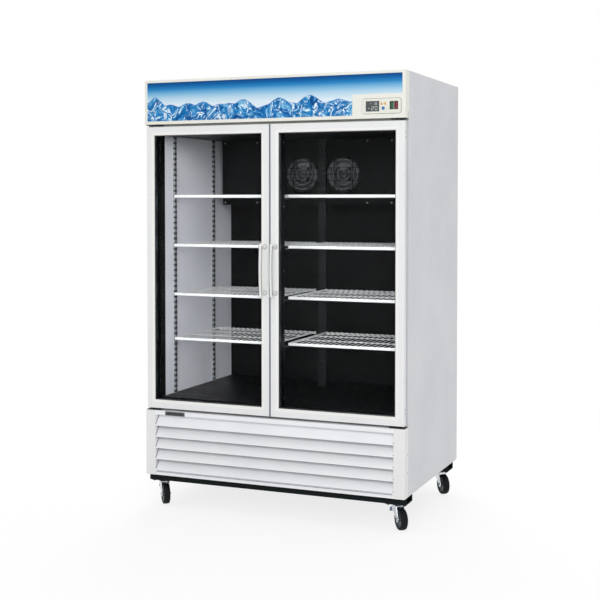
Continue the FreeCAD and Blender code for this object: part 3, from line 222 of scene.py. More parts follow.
def sign_print():
    """Print on the sign: a sky that pales downwards over a bank of clear ice."""
    paint = Paint("sign_print", "2f86c8", 0.35, Specular_IOR_Level=0.12)
    _, _, z = paint.axes()
    level = paint.spread(z, SIGN_LOW, SIGN_HIGH)
    sky = paint.ramp(level, (0.42, "dfedf7"), (0.56, "bddbee"), (0.69, "7fbbe0"),
                     (0.81, "2a86c3"), (0.90, "0c62a6"), (0.98, "084685"))
    swirl = paint.noise(17, 3, output="Color")
    bent = paint.node("VectorMath", {0: swirl, 1: (0.09, 0.0, 0.09), 2: paint.place},
                      operation="MULTIPLY_ADD")[0]
    facets = paint.node("SeparateColor", {0: paint.cells(48, "F1", bent, "Color")})[0]
    veins = paint.noise(34, 4, 0.62, bent, 1.6)
    tone = paint.math("ADD", paint.math("MULTIPLY", facets, 0.22),
                      paint.math("MULTIPLY", veins, 0.86))
    ice = paint.ramp(tone, (0.32, "07407e"), (0.45, "136aae"), (0.56, "2f8cca"),
                     (0.65, "8fc8e8"), (0.73, "fbfeff"))
    seams = paint.cells(15, "DISTANCE_TO_EDGE", bent)
    ice = paint.mix(paint.spread(seams, 0.0, 0.035, 0.75, 0.0), ice, "0a4a90")
    glint = paint.spread(seams, 0.05, 0.075, 0.0, 1.0)
    glint = paint.math("MULTIPLY", glint, paint.spread(seams, 0.085, 0.115, 1.0, 0.0))
    glint = paint.math("MULTIPLY", glint, paint.spread(veins, 0.46, 0.56))
    ice = paint.mix(glint, ice, "f4fbff")
    lumps = paint.cells(11, "SMOOTH_F1", paint.stretched(1, 0, 0.2), Smoothness=0.3)
    bank = paint.math("SUBTRACT", 0.66, paint.math("MULTIPLY", lumps, 0.46))
    bank = paint.math("ADD", bank, paint.spread(paint.noise(5, 1), 0.3, 0.7, -0.035, 0.035))
    depth = paint.math("SUBTRACT", bank, level)
    rim = paint.math("MULTIPLY", paint.spread(depth, 0.0, 0.05, 1.0, 0.0), 0.7)
    ice = paint.mix(rim, ice, "1f78bf")
    paint.colour(paint.mix(paint.spread(depth, -0.006, 0.010), sky, ice))
    return paint.bump(paint.noise(900, 2), 0.05, 0.0002)


def liner_paint():
    """Pale side walls; the rear wall, ceiling and floor are painted near-black, painted shade for
    the dim back of the cabinet.
    """
    rear_wall, middle, half_height = 0.4030, 1.1215, 0.6160
    paint = coated("liner", "f1f1f8", "e6e6ef", 0.4, 300, 0.1, Specular_IOR_Level=0.12)
    _, y, z = paint.axes()
    rear = paint.math("GREATER_THAN", y, rear_wall)
    up = paint.math("ABSOLUTE", paint.math("SUBTRACT", z, middle))
    # painted shade: near-black on the rear wall, ceiling and floor stands in for the shade deep
    # inside
    dark = paint.math("MAXIMUM", rear, paint.math("GREATER_THAN", up, half_height))
    painted_shade_tone = paint.ramp(paint.noise(9, 4), (0.3, "050607"), (0.7, "0c0f10"))
    return paint.colour(paint.mix(dark, paint.base(), painted_shade_tone))


def breaker_paint():
    """Black throat moulding whose top flange is painted pale, painted light that brightens the
    shaded gap under the header.
    """
    flange_low = 1.7735
    paint = moulded("breaker_plastic", "0b0e0f", "070909", 0.42, Specular_IOR_Level=0.15)
    _, _, z = paint.axes()
    # painted light: the top flange is painted pale so the gap under the header reads lighter
    flange = paint.math("GREATER_THAN", z, flange_low)
    return paint.colour(paint.mix(flange, paint.base(), "e4e4e0"))


def finned():
    """Stacked aluminium fins, with painted shade in the gaps between them."""
    colour, dark, pitch = "aab0b4", "4c5154", 0.0032
    paint = Paint("fins", colour, 0.4, 0.8)
    x, _, _ = paint.axes()
    phase = paint.math("FRACT", paint.math("DIVIDE", x, pitch))
    fin = paint.math("GREATER_THAN", phase, 0.45)
    patchy = paint.ramp(paint.noise(60, 3), (0.3, dark), (0.7, colour))
    # painted shade: the gaps between the fins are painted dark
    paint.colour(paint.mix(fin, dark, patchy))
    return paint.bump(fin, 0.6, 0.0008)


def slotted():
    """Shelf standards: plated strips with painted shade in their slots, dark on the mullion's
    side.
    """
    colour, pitch, mullion_side = "b9bdc0", 0.0254, 0.1
    paint = Paint("standard_metal", colour, 0.36, 0.6)
    x, _, z = paint.axes()
    phase = paint.math("FRACT", paint.math("DIVIDE", z, pitch))
    hole = paint.math("LESS_THAN", phase, 0.42)
    base = paint.ramp(paint.noise(40, 3), (0.3, "9fa3a6"), (0.7, colour))
    middle = paint.math("LESS_THAN", paint.math("ABSOLUTE", x), mullion_side)
    base = paint.mix(middle, base, "1c2022")
    # painted shade: the slots are painted near-black
    paint.colour(paint.mix(paint.math("MULTIPLY", hole, 0.8), base, "0c0e0f"))
    return paint.bump(paint.math("SUBTRACT", 1.0, hole), 0.6, 0.001)


def clear_glass():
    """Clear pane whose gloss varies a little."""
    paint = Paint("door_glass", "fdfefe", 0.015, IOR=1.06, Transmission_Weight=1.0)
    return paint.rough(paint.spread(paint.noise(9, 3), 0.45, 0.8, 0.012, 0.045))


def window_paint():
    """Smoked display window, faintly clouded."""
    paint = Paint("display_window", "3a4042", 0.12, Coat_Weight=0.6)
    paint.colour(paint.ramp(paint.noise(30, 2), (0.4, "33393b"), (0.7, "434a4c")))
    return paint.bump(paint.noise(700, 1), 0.03, 0.0001)


def rubber():
    """Mottled black rubber, dull and finely pitted."""
    paint = Paint("wheel_rubber", "0d1213", 0.62, Specular_IOR_Level=0.15)
    paint.colour(paint.ramp(paint.noise(46, 4), (0.35, "080b0c"), (0.68, "151a1b")))
    paint.rough(paint.spread(paint.noise(120, 3), 0.3, 0.7, 0.5, 0.75))
    return paint.bump(paint.noise(700, 3), 0.3, 0.0004)


PAINTS = {
    "header": coated("header_paint", "efefe7", "eaeae2", 0.34),
    "door": door_paint(),
    "grille": coated("grille_paint", "f6f7fa", "f1f2f6", 0.36),
    "side": coated("side_paint", "dcdde1", "d3d4d9", 0.42, 480, 0.1),
    "back": metal("galvanised", "b6babd", "a9aeb2", 0.42, (1, 1, 1), 0.12, 60),
    "foam": moulded("foam", "d9cfae", "c8bc96", 0.85, 300, 0.5),
    "liner": liner_paint(),
    # painted shade: the evaporator cover is near-black to stand in for the shade at the back of
    # the cabinet
    "cover": coated("evaporator_cover", "0e1213", "090c0d", 0.45, 500, 0.15,
                    Specular_IOR_Level=0.12),
    "breaker": breaker_paint(),
    "sign": sign_print(),
    "lamp": moulded("lamp_white", "f6f6f0", "efefe8", 0.25),
    "module": moulded("module_face", "ecece2", "e4e4da", 0.36),
    "black": moulded("black_plastic", "0f1112", "0a0b0c", 0.38, Specular_IOR_Level=0.2),
    "base": coated("base_paint", "0a1416", "070e10", 0.45, Specular_IOR_Level=0.12),
    "post": coated("post_paint", "eeeeed", "e9eaea", 0.34),
    "outline": moulded("outline_grey", "4b5256", "3f464a", 0.45, Specular_IOR_Level=0.2),
    # painted shade under the louvre lips
    "lip_shade": moulded("lip_shade_grey", "8f96a0", "838a94", 0.45, Specular_IOR_Level=0.2),
    "machine": coated("machine_paint", "1b1c1d", "121314", 0.4),
    "coil": finned(),
    "standard": slotted(),
    "shelf": coated("shelf_coat", "fcfcfc", "f1f3f4", 0.28, 900, 0.15),
    "glass": clear_glass(),
    "spacer": metal("spacer_strip", "5a6064", "43484b", 0.35),
    "gasket": moulded("gasket", "5b666d", "4e585f", 0.6, 700, 0.25),
    "handle": moulded("handle_plastic", "f1f1ee", "e9eae7", 0.25, 1800, 0.06),
    "fan": moulded("fan_blade", "3b4044", "2f3336", 0.4),
    "orange": moulded("button_orange", "f0b45c", "e6a548", 0.35),
    "blue": moulded("button_blue", "2f7fc2", "256fb0", 0.35),
    "green": moulded("lens_green", "1f8f5a", "177a4b", 0.18, 2000, 0.04, Coat_Weight=0.5),
    "red": moulded("lens_red", "d01f34", "b91a2d", 0.18, 2000, 0.04, Coat_Weight=0.5),
    "window": window_paint(),
    "digit": moulded("display_digit", "cfd6d2", "c2cac6", 0.4),
    # painted shade: dark metal for the hinge brackets and caster top plates, which sit in shade
    "hinge": metal("hinge_metal", "3b4043", "2b2f31", 0.35, (1, 1, 1), 0.15, 200),
    "zinc": metal("zinc_plate", "e2e6e9", "bcc2c7", 0.26, (1, 1, 6), 0.12, 90),
    "bolt": metal("bolt_steel", "b4b9bd", "8f9599", 0.32, (1, 1, 1), 0.15, 300),
    "brake": coated("brake_paint", "6b86a3", "5a748f", 0.35),
    "rubber": rubber(),
    "hub": moulded("wheel_hub", "4b5357", "3d4448", 0.42),
    "badge": coated("badge_blank", "2b3234", "23292b", 0.3, 900, 0.1),
}


# ---------------- mesh tools

def block(bm, low, high, bevel=0.0, segments=2):
    """A box between two corners, its edges rounded by bevel."""
    low, high = Vector(low), Vector(high)
    size = high - low
    place = Matrix.Translation((low + high) / 2) @ Matrix.Diagonal((*size, 1))
    made = bmesh.ops.create_cube(bm, size=1.0, matrix=place)
    if bevel:
        edges = list({e for v in made["verts"] for e in v.link_edges})
        bmesh.ops.bevel(bm, geom=edges, offset=bevel, segments=segments, profile=0.5,
                        affect="EDGES", clamp_overlap=True)


def circle(steps):
    """Cosine and sine at equal steps of a turn."""
    angles = [2 * math.pi * step / steps for step in range(steps)]
    return [(math.cos(angle), math.sin(angle)) for angle in angles]


def lathe(bm, profile, place, steps=40):
    """Turns a profile of (radius, height) round the local Z axis of a matrix."""
    rings = []
    for radius, height in profile:
        around = circle(steps) if radius > 1e-7 else [(0, 0)]
        rings.append([bm.verts.new(place @ Vector((radius * cos, radius * sin, height)))
                      for cos, sin in around])
    join_rings(bm, rings)


def join_rings(bm, rings, ends=False):
    """Faces between neighbouring rings; a ring of one vertex is a tip."""
    for lower, upper in zip(rings, rings[1:]):
        count = max(len(lower), len(upper))
        for step in range(count):
            after = (step + 1) % count
            corners = [lower[step % len(lower)], lower[after % len(lower)],
                       upper[after % len(upper)], upper[step % len(upper)]]
            face = list(dict.fromkeys(corners))
            if len(face) > 2:
                bm.faces.new(face)
    if ends:
        bm.faces.new(list(reversed(rings[0])))
        bm.faces.new(rings[-1])


def tube(bm, points, radius, sides):
    """A round bar along a line of points, mitred at the bends."""
    points = [Vector(p) for p in points]
    ways = [(end - start).normalized() for start, end in zip(points, points[1:])]
    rings = []
    side = None
    for index, point in enumerate(points):
        before = ways[index - 1] if index else None
        after = ways[index] if index < len(ways) else None
        along = ((before or after) + (after or before)).normalized()
        if side is None:
            side = along.orthogonal().normalized()
        side = (side - along * side.dot(along)).normalized()
        other = along.cross(side)
        turn, stretch = Vector(), 1.0
        if before and after:
            turn, stretch = after - before, 1 / max(0.5, along.dot(after))
        bend = turn - along * turn.dot(along)
        bend = bend.normalized() if bend.length > 1e-6 else None
        ring = []
        for cos, sin in circle(sides):
            offset = side * cos * radius + other * sin * radius
            if bend:
                offset += bend * offset.dot(bend) * (stretch - 1)
            ring.append(bm.verts.new(point + offset))
        rings.append(ring)
    join_rings(bm, rings, ends=True)


def bar_frame(bm, across, up, y, radius, sides):
    """Four round bars along the edges of a rectangle that faces the viewer."""
    (left, right), (low, high) = across, up
    corners = [(left, low), (right, low), (right, high), (left, high)]
    for (ax, az), (bx, bz) in zip(corners, corners[1:] + corners[:1]):
        tube(bm, [(ax, y, az), (bx, y, bz)], radius, sides)


def upright(centre, normal):
    """A matrix at a centre whose Z axis is the normal."""
    turn = Vector(normal).to_track_quat("Z", "Y").to_matrix().to_4x4()
    return Matrix.Translation(centre) @ turn


def screw(bm, centre, normal, radius, height):
    """Pan head with a small dished recess."""
    profile = [(radius, 0), (radius, height * 0.35), (radius * 0.86, height * 0.78),
               (radius * 0.6, height), (radius * 0.36, height), (radius * 0.26, height * 0.45),
               (0, height * 0.4)]
    lathe(bm, profile, upright(centre, normal), 16)


def bolt_head(bm, place, radius, height):
    """Hexagon head with its chamfered crown."""
    lathe(bm, [(radius, 0), (radius, height * 0.72), (radius * 0.9, height), (0, height)],
          place, 6)


def finish_mesh(bm, sharp=32):
    """Merges doubles, faces outwards and keeps only steep edges hard."""
    bmesh.ops.remove_doubles(bm, verts=bm.verts, dist=1e-6)
    bmesh.ops.recalc_face_normals(bm, faces=bm.faces)
    limit = math.radians(sharp)
    for face in bm.faces:
        face.smooth = True
    for edge in bm.edges:
        edge.smooth = len(edge.link_faces) == 2 and edge.calc_face_angle(0) < limit


def piece(name, bm, paint, body, nodes=(), sharp=32):
    """Turns a mesh into a named piece that rides on a body."""
    finish_mesh(bm, sharp)
    mesh = bpy.data.meshes.new(name)
    bm.to_mesh(mesh)
    bm.free()
    return placed(name, mesh, paint, body, nodes)


def placed(name, mesh, paint, body, nodes=(), offset=(0, 0, 0)):
    """Adds a mesh as a piece; it may stand for CAD nodes."""
    thing = bpy.data.objects.new(name, mesh)
    bpy.context.scene.collection.objects.link(thing)
    if not mesh.materials:
        mesh.materials.append(PAINTS[paint].material)
    thing.location = offset
    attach(thing, body)
    if nodes:
        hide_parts(*nodes)
    return thing


# ---------------- header

def sign_edge():
    """Thin bead that holds the sign sheet along its opening."""
    bm = bmesh.new()
    side, y, bead = 0.623, FRONT + 0.0006, 0.0012
    for z in (SIGN_LOW + bead, SIGN_HIGH - bead):
        tube(bm, [(-side, y, z), (side, y, z)], bead, 8)
    for x in (bead - side, side - bead):
        tube(bm, [(x, y, SIGN_LOW), (x, y, SIGN_HIGH)], bead, 8)
    piece("sign_bead", bm, "header", "cabinet")


def digit(bm, left, low, width, height, lit, y):
    """Seven bars on a grid; lit names the bars that show."""
    bar, thick = height * 0.13, 0.0003
    middle = low + height / 2
    rows = {"a": low + height - bar, "g": middle - bar / 2, "d": low}
    for key, z in rows.items():
        if key in lit:
            block(bm, (left + bar * 0.6, y, z), (left + width - bar * 0.6, y + thick, z + bar))
    columns = {"f": (left, middle), "b": (left + width - bar, middle),
               "e": (left, low), "c": (left + width - bar, low)}
    for key, (x, z) in columns.items():
        if key in lit:
            block(bm, (x, y, z + bar * 0.6), (x + bar, y + thick, z + height / 2 - bar * 0.2))


BARS = {"0": "abcdef", "1": "bc", "2": "abged", "8": "abcdefg", "-": "g"}


def display():
    """Dark window in the module's recess, with two rows of numbers."""
    left, right, low, high = 0.458, 0.517, 1.816, 1.859
    gap, rim, ease = 0.0004, 0.0009, 0.0002
    bm = bmesh.new()
    block(bm, (left + gap, MODULE_FACE + 0.0004, low + gap),
          (right - gap, MODULE_FACE + 0.0012, high - gap), 0.0003)
    piece("display_window", bm, "window", "cabinet")
    bm = bmesh.new()
    for text, start, step, base, width, height in (
            ("-18", 0.019, 0.0115, high - 0.0165, 0.0075, 0.0115),
            ("-20", 0.007, 0.0165, low + 0.0045, 0.0115, 0.0165)):
        for index, sign in enumerate(text):
            digit(bm, left + start + index * step, base, width, height, BARS[sign],
                  MODULE_FACE + 0.0002)
    piece("display_digits", bm, "digit", "cabinet")
    bm = bmesh.new()
    front, back = MODULE_FACE - 0.0004, MODULE_FACE + 0.0002
    for z in (low, high):
        block(bm, (left - rim, front, z - rim), (right + rim, back, z + rim), ease)
    for x in (left, right):
        block(bm, (x - rim, front, low), (x + rim, back, high), ease)
    piece("display_rim", bm, "gasket", "cabinet")


def module_outline():
    """Grey joint line that runs round the module's rounded edge."""
    bm = bmesh.new()
    left, right, low, high, radius = 0.440, 0.615, 1.806, 1.870, 0.009
    inwards, half_width, half_depth = Vector((0, 1, 0)), 0.0013, 0.0010
    loop = []
    for cx, cz, start in ((right - radius, high - radius, 0), (left + radius, high - radius, 90),
                          (left + radius, low + radius, 180), (right - radius, low + radius, 270)):
        for step in range(9):
            angle = math.radians(start + step * 90 / 8)
            loop.append(Vector((cx + radius * math.cos(angle), FRONT - 0.0005,
                                cz + radius * math.sin(angle))))
    rings = []
    for index, point in enumerate(loop):
        along = (loop[(index + 1) % len(loop)] - loop[index - 1]).normalized()
        side = along.cross(inwards)
        rings.append([bm.verts.new(point + side * cos * half_width + inwards * sin * half_depth)
                      for cos, sin in circle(6)])
    join_rings(bm, rings + [rings[0]])
    piece("module_joint", bm, "outline", "cabinet")


def buttons():
    """Push buttons with a rounded rim and a shallow dish, and the ring round each."""
    tip, front = 0.008, -0.4143
    for name, x, z, radius, colour in BUTTONS:
        bm = bmesh.new()
        profile = [(0, 0), (radius, 0), (radius, tip - 0.0011), (radius * 0.97, tip - 0.0005),
                   (radius * 0.9, tip - 0.0001), (radius * 0.8, tip),
                   (radius * 0.62, tip - 0.0002), (radius * 0.35, tip - 0.0004),
                   (0, tip - 0.00045)]
        lathe(bm, profile, upright((x, front + tip, z), TO_FRONT), 48)
        piece(f"button_{name}_cap", bm, colour, f"button_{name}_body",
              [f"button_{name}"])
    bm = bmesh.new()
    for _, x, z, radius, _ in BUTTONS:
        inner = radius + 0.0003
        lathe(bm, [(inner, 0), (inner, 0.0005), (radius + 0.0012, 0.0005),
                   (radius + 0.0015, 0), (inner, 0)], upright((x, MODULE_FACE, z), TO_FRONT))
    piece("button_rings", bm, "module", "cabinet")


def rockers():
    """Black frames round both wells, and a coloured lens on each paddle."""
    bm = bmesh.new()
    half, reach, rim, ease = 0.0066, 0.0156, 0.0021, 0.0004
    front, back = MODULE_FACE - 0.001, MODULE_FACE + 0.0004
    for _, x, _ in ROCKERS:
        for side in (-1, 1):
            left, right = sorted((half * side, (half + rim) * side))
            block(bm, (x + left, front, ROCKER_Z - reach - rim),
                  (x + right, back, ROCKER_Z + reach + rim), ease)
            low, high = sorted((reach * side, (reach + rim) * side))
            block(bm, (x - half, front, ROCKER_Z + low), (x + half, back, ROCKER_Z + high), ease)
    piece("rocker_surrounds", bm, "black", "cabinet")
    tilt = Matrix.Rotation(math.radians(9), 4, "X")
    axis, under, over = -0.4085, -0.00035, 0.0005
    for name, x, colour in ROCKERS:
        place = Matrix.Translation((x, axis, ROCKER_Z)) @ tilt
        bm = bmesh.new()
        for side in (-1, 1):
            inner, outer = (0.0012 * side, -0.00425), (0.0112 * side, -0.0058)
            section = [(z, y + lift) for (z, y), lift in
                       ((inner, under), (inner, over), (outer, over), (outer, under))]
            join_rings(bm, [[bm.verts.new(place @ Vector((across, y, z))) for z, y in section]
                            for across in (-0.0012, 0.0048)], ends=True)
        piece(f"rocker_{name}_lens", bm, colour, f"rocker_{name}_body")


# ---------------- doors

def grip_half_width(end):
    """Half the grip's width at a distance from its nearer end; the ends flare."""
    return 0.0068 + 0.0020 * max(0.0, 1 - end / 0.030) ** 1.5


def grip_bow(share):
    """How far the grip bows forwards at a share of its length."""
    return 0.007 * (1 - (2 * share - 1) ** 2)


def handle(side, sign):
    """Bow handle: a swept grip with soft ends, two feet and their bosses."""
    bm = bmesh.new()
    x, front, half_depth, rounding, squareness = GRIP_X * sign, -0.4485, 0.0045, 0.007, 0.55
    rings = []
    tips = [0.0, 0.0004, 0.0012, 0.0026, 0.0045, rounding, 0.012, 0.018, 0.026]
    heights = [GRIP_LOW + tip for tip in tips]
    heights += [GRIP_LOW + 0.034 + 0.0086 * step for step in range(21)]
    heights += [GRIP_HIGH - tip for tip in reversed(tips)]
    for z in heights:
        y = front - grip_bow((z - GRIP_LOW) / (GRIP_HIGH - GRIP_LOW)) + half_depth
        end = min(z - GRIP_LOW, GRIP_HIGH - z)
        taper = math.sqrt(max(0.06, 1 - max(0.0, 1 - end / rounding) ** 2))
        half_x, half_y = grip_half_width(end) * taper, half_depth * math.sqrt(taper)
        ring = []
        for cos, sin in circle(24):
            across = math.copysign(abs(cos) ** squareness, cos) * half_x
            inwards = math.copysign(abs(sin) ** squareness, sin) * half_y
            ring.append(bm.verts.new((x + across, y + inwards, z)))
        rings.append(ring)
    join_rings(bm, rings, ends=True)
    for z in GRIP_FEET:
        lathe(bm, [(0.0092, 0), (0.0092, 0.0055), (0.0086, 0.0072), (0.0074, 0.008),
                   (0.0062, 0.0084), (0.006, 0.0095), (0.0056, 0.022), (0.0058, 0.034),
                   (0.0064, 0.0415), (0, 0.0415)], upright((x, DOOR_FRONT, z), TO_FRONT), 32)
    piece(f"handle_{side}", bm, "handle", f"{side}_door",
          [f"door_handle_{side}"], 40)


def handle_shade_lines(side, sign):
    """Painted shade: dark lines down both edges of the grip for its shadow, and a dark ring under
    each boss for the shade at its foot.
    """
    bm = bmesh.new()
    x, front, length = GRIP_X * sign, -0.4479, GRIP_HIGH - GRIP_LOW
    # painted shade along the grip's edges
    for edge in (-1, 1):
        points = []
        for step in range(25):
            share = 0.035 + 0.93 * step / 24
            reach = grip_half_width(min(share, 1 - share) * length) - 0.0004
            points.append((x + edge * reach, front - grip_bow(share), GRIP_LOW + length * share))
        tube(bm, points, 0.0008, 6)
    # painted shade: a dark ring at the foot of each boss
    for z in GRIP_FEET:
        lathe(bm, [(0.0093, 0), (0.0093, 0.0012), (0.0102, 0.0012), (0.0106, 0), (0.0093, 0)],
              upright((x, DOOR_FRONT, z), TO_FRONT), 32)
    piece(f"handle_shade_lines_{side}", bm, "outline", f"{side}_door")


def frame_ridge(side, sign):
    """Raised bead that runs round the frame's face, inside its outer band."""
    bm = bmesh.new()
    bar_frame(bm, sorted((0.029 * sign, 0.602 * sign)), (0.487, 1.748), DOOR_FRONT + 0.0005,
              0.0015, 10)
    piece(f"frame_ridge_{side}", bm, "door", f"{side}_door")


def insulating_unit(side, sign):
    """Two panes with eased edges, and the dark spacer between them."""
    inner, outer = sorted((0.033 * sign, 0.598 * sign))
    low, high = 0.491, 1.744
    thick, gap = 0.004, 0.001
    bm = bmesh.new()
    for start in (-0.3975, -0.3795):
        block(bm, (inner, start, low), (outer, start + thick, high), 0.0004, 1)
    glass = piece(f"glass_{side}", bm, "glass", f"{side}_door",
                  [f"door_glass_{side}"])
    glass.visible_shadow = False
    bm = bmesh.new()
    wide, ease, front, back = 0.012, 0.0006, -0.3934, -0.3796
    for z in (low, high - wide):
        block(bm, (inner + gap, front, z), (outer - gap, back, z + wide), ease)
    for x in (inner + gap, outer - wide - gap):
        block(bm, (x, front, low + wide), (x + wide, back, high - wide), ease)
    piece(f"spacer_{side}", bm, "spacer", f"{side}_door")


def glazing_bead(side, sign):
    """Dark push-in strip between the frame's lip and the glass."""
    bm = bmesh.new()
    bar_frame(bm, sorted((0.042 * sign, 0.589 * sign)), (0.500, 1.735), -0.3983, 0.0012, 6)
    piece(f"glazing_bead_{side}", bm, "black", f"{side}_door")


def gasket_folds(side, sign):
    """Bellows ribs round the gasket, seen in the gap round a door."""
    bm = bmesh.new()
    for y in (-0.3705, -0.3668):
        bar_frame(bm, sorted((0.0185 * sign, 0.6125 * sign)), (0.4765, 1.7585), y, 0.0017, 8)
    piece(f"gasket_ribs_{side}", bm, "gasket", f"{side}_door")


def door_screws(side, sign):
    """Screw pairs on the hinge stile's outer side."""
    bm = bmesh.new()
    for z in (1.724, 1.706, 0.533, 0.514):
        screw(bm, (0.6289 * sign, -0.3865, z), (sign, 0, 0), 0.0034, 0.0014)
    piece(f"door_screws_{side}", bm, "bolt", f"{side}_door")


# ---------------- cold compartment

def shelf_mesh():
    """Wire shelf about its top front left corner."""
    bm = bmesh.new()
    wide, deep, inset = 0.535, 0.492, 0.0058
    thin, thick = 0.0017, 0.0024
    gaps = 20
    half_wire = [(thin, -0.0132), (thin, -0.0035), (thin + 0.0008, -thin - 0.0006),
                 (thin + 0.0026, -thin)]
    wire = half_wire + [(deep - y, z) for y, z in reversed(half_wire)]
    for index in range(gaps + 1):
        x = 0.004 + (wide - 0.008) * index / gaps
        tube(bm, [(x, y, z) for y, z in wire], thin, 6)
    under, low = -2 * thin - thick, -0.0124
    for y, z in ((inset, under), (deep * 0.34, under), (deep * 0.67, under),
                 (deep - inset, under), (inset, low), (deep - inset, low)):
        tube(bm, [(0, y, z), (wide, y, z)], thick, 8)
    for x in (thick, wide - thick):
        tube(bm, [(x, inset, under), (x, deep - inset, under)], thick, 8)
    block(bm, (0.001, -0.0004, -0.0134), (wide - 0.001, 0.0030, -0.0012), 0.0007)
    finish_mesh(bm, 50)
    mesh = bpy.data.meshes.new("wire_shelf")
    bm.to_mesh(mesh)
    bm.free()
    return mesh


def shelves():
    """Four wire shelves on each side, which share one mesh."""
    mesh = shelf_mesh()
    for side, left in (("left", -0.563), ("right", 0.028)):
        for level, top in enumerate((1.460, 1.227, 0.993, 0.780), start=1):
            placed(f"wire_shelf_{side}_{level}", mesh, "shelf", "cabinet",
                   [f"shelf_{side}_{level}"], (left, -0.2595, top))


def blade_point(share, across, lift, inner, outer):
    """A point at shares of a blade's reach and chord, on a sheet lifted off the middle one."""
    half_depth = 0.0108
    reach = inner + (outer - inner) * share
    chord = 0.026 + 0.040 * math.sin(min(1.0, share * 1.25) * math.pi / 2)
    if share > 0.85:
        chord *= 1 - (share - 0.85) / 0.15 * 0.35
    pitch = math.radians(34 - 14 * share)
    along = (across - 0.5) * chord
    camber = 0.0035 * (1 - (2 * across - 1) ** 2)
    height = 0.62 * (along * math.sin(pitch) + camber + lift)
    sweep = along * math.cos(pitch) / reach
    return Vector((reach * math.cos(sweep), reach * math.sin(sweep),
                   max(-half_depth, min(half_depth, height))))


def fan_blades(name, body, centre, radius):
    """Axial fan: domed hub, collar and four twisted blades about -Y."""
    bm = bmesh.new()
    place = upright(centre, TO_FRONT)
    lathe(bm, [(0.0031, -0.011), (0.0165, -0.011), (0.018, -0.0095), (0.018, 0.0085),
               (0.0165, 0.0105), (0.009, 0.011), (0.0031, 0.011), (0.0031, -0.011)], place, 40)
    inner, outer, parts = 0.0165, radius * 0.95, 8
    for blade in range(4):
        turn = place @ Matrix.Rotation(math.radians(90 * blade), 4, "Z")
        skin_blade(bm, [[[bm.verts.new(turn @ blade_point(row / parts, column / parts, lift,
                                                          inner, outer))
                          for column in range(parts + 1)] for row in range(parts + 1)]
                        for lift in (-0.0008, 0.0008)])
    piece(f"{name}_blades", bm, "fan", body, [name], 45)


def skin_blade(bm, layers):
    """Two sheets of points closed along their rim."""
    low, high = layers
    last_row, last_col = len(low) - 1, len(low[0]) - 1
    for r in range(last_row):
        for c in range(last_col):
            bm.faces.new((low[r][c], low[r][c + 1], low[r + 1][c + 1], low[r + 1][c]))
            bm.faces.new((high[r][c], high[r + 1][c], high[r + 1][c + 1], high[r][c + 1]))
    rim = [(0, c) for c in range(last_col)] + [(r, last_col) for r in range(last_row)]
    rim += [(last_row, c) for c in range(last_col, 0, -1)]
    rim += [(r, 0) for r in range(last_row, 0, -1)]
    for (r0, c0), (r1, c1) in zip(rim, rim[1:] + rim[:1]):
        bm.faces.new((low[r0][c0], high[r0][c0], high[r1][c1], low[r1][c1]))


def fans():
    """Both evaporator fans and the condenser fan."""
    for side, sign in SIDES:
        low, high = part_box(f"evaporator_fan_{side}")
        centre = (EVAPORATOR_FAN_X * sign, (low.y + high.y) / 2, EVAPORATOR_FAN_Z)
        fan_blades(f"evaporator_fan_{side}", f"{side}_evaporator_rotor", centre, 0.080)
    low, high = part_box("condenser_fan")
    fan_blades("condenser_fan", "condenser_rotor", (0.280, (low.y + high.y) / 2, 0.273), 0.104)


def compartment_screws():
    """Screw heads on the mullion's sides and the evaporator cover."""
    bm = bmesh.new()
    for z in (1.695, 1.405, 1.114, 0.824, 0.534):
        for sign in (-1, 1):
            screw(bm, (0.0380 * sign, -0.3330, z), (sign, 0, 0), 0.0036, 0.0014)
    piece("mullion_screws", bm, "bolt", "cabinet")
    bm = bmesh.new()
    for x in (-0.54, -0.36, -0.235, 0.235, 0.36, 0.54):
        for z in (1.422, 1.726):
            screw(bm, (x, 0.2485, z), TO_FRONT, 0.004, 0.0018)
    piece("cover_screws", bm, "bolt", "cabinet")


def guard_rings():
    """Concentric wires on each fan guard."""
    bm = bmesh.new()
    for _, sign in SIDES:
        for radius in (0.030, 0.052, 0.074):
            points = [(EVAPORATOR_FAN_X * sign + radius * cos, 0.2468,
                       EVAPORATOR_FAN_Z + radius * sin) for cos, sin in circle(40)]
            tube(bm, points + points[:1], 0.0013, 6)
    piece("guard_rings", bm, "bolt", "cabinet")


# ---------------- lower part

def louvre_end_shade():
    """Painted shade: black strips for the shaded gap where each slat meets the end plates."""
    bm = bmesh.new()
    for sign in (-1, 1):
        x = (GRILLE_HALF_WIDTH - 0.0016) * sign
        for drop in LOUVRE_DROPS:
            top = 0.430 + drop
            start = Vector((x, FRONT + 0.0365, top - 0.001))
            end = Vector((x, FRONT + 0.0012, top - 0.046))
            across = Vector((0.0010 * sign, 0, 0))
            width = Vector((0, -0.0016, 0.0013))
            corners = [start - across, start + across, end + across, end - across]
            join_rings(bm, [[bm.verts.new(corner + lift) for corner in corners]
                            for lift in (Vector(), width)], ends=True)
    piece("louvre_end_shade", bm, "black", "cabinet")


def grille_lines():
    """Painted shade: grey strips under each louvre's lip and one more below the last lip; and the
    header's side joints.
    """
    bm = bmesh.new()
    half = 0.5795
    # painted shade: a grey strip under each lip stands in for its shadow
    for drop in LOUVRE_DROPS:
        lip = 0.3775 + drop
        block(bm, (-half, FRONT + 0.0003, lip - 0.0016), (half, FRONT + 0.0042, lip - 0.0002))
    # painted shade below the last lip
    block(bm, (-half, FRONT - 0.0003, 0.1612), (half, FRONT + 0.0006, 0.1634))
    piece("louvre_shade_lines", bm, "lip_shade", "cabinet")
    bm = bmesh.new()
    for sign in (-1, 1):
        inner, outer = sorted((0.6346 * sign, 0.6353 * sign))
        block(bm, (inner, -0.3722, 1.7865), (outer, -0.3700, 1.8165))
    piece("header_side_joints", bm, "black", "cabinet")


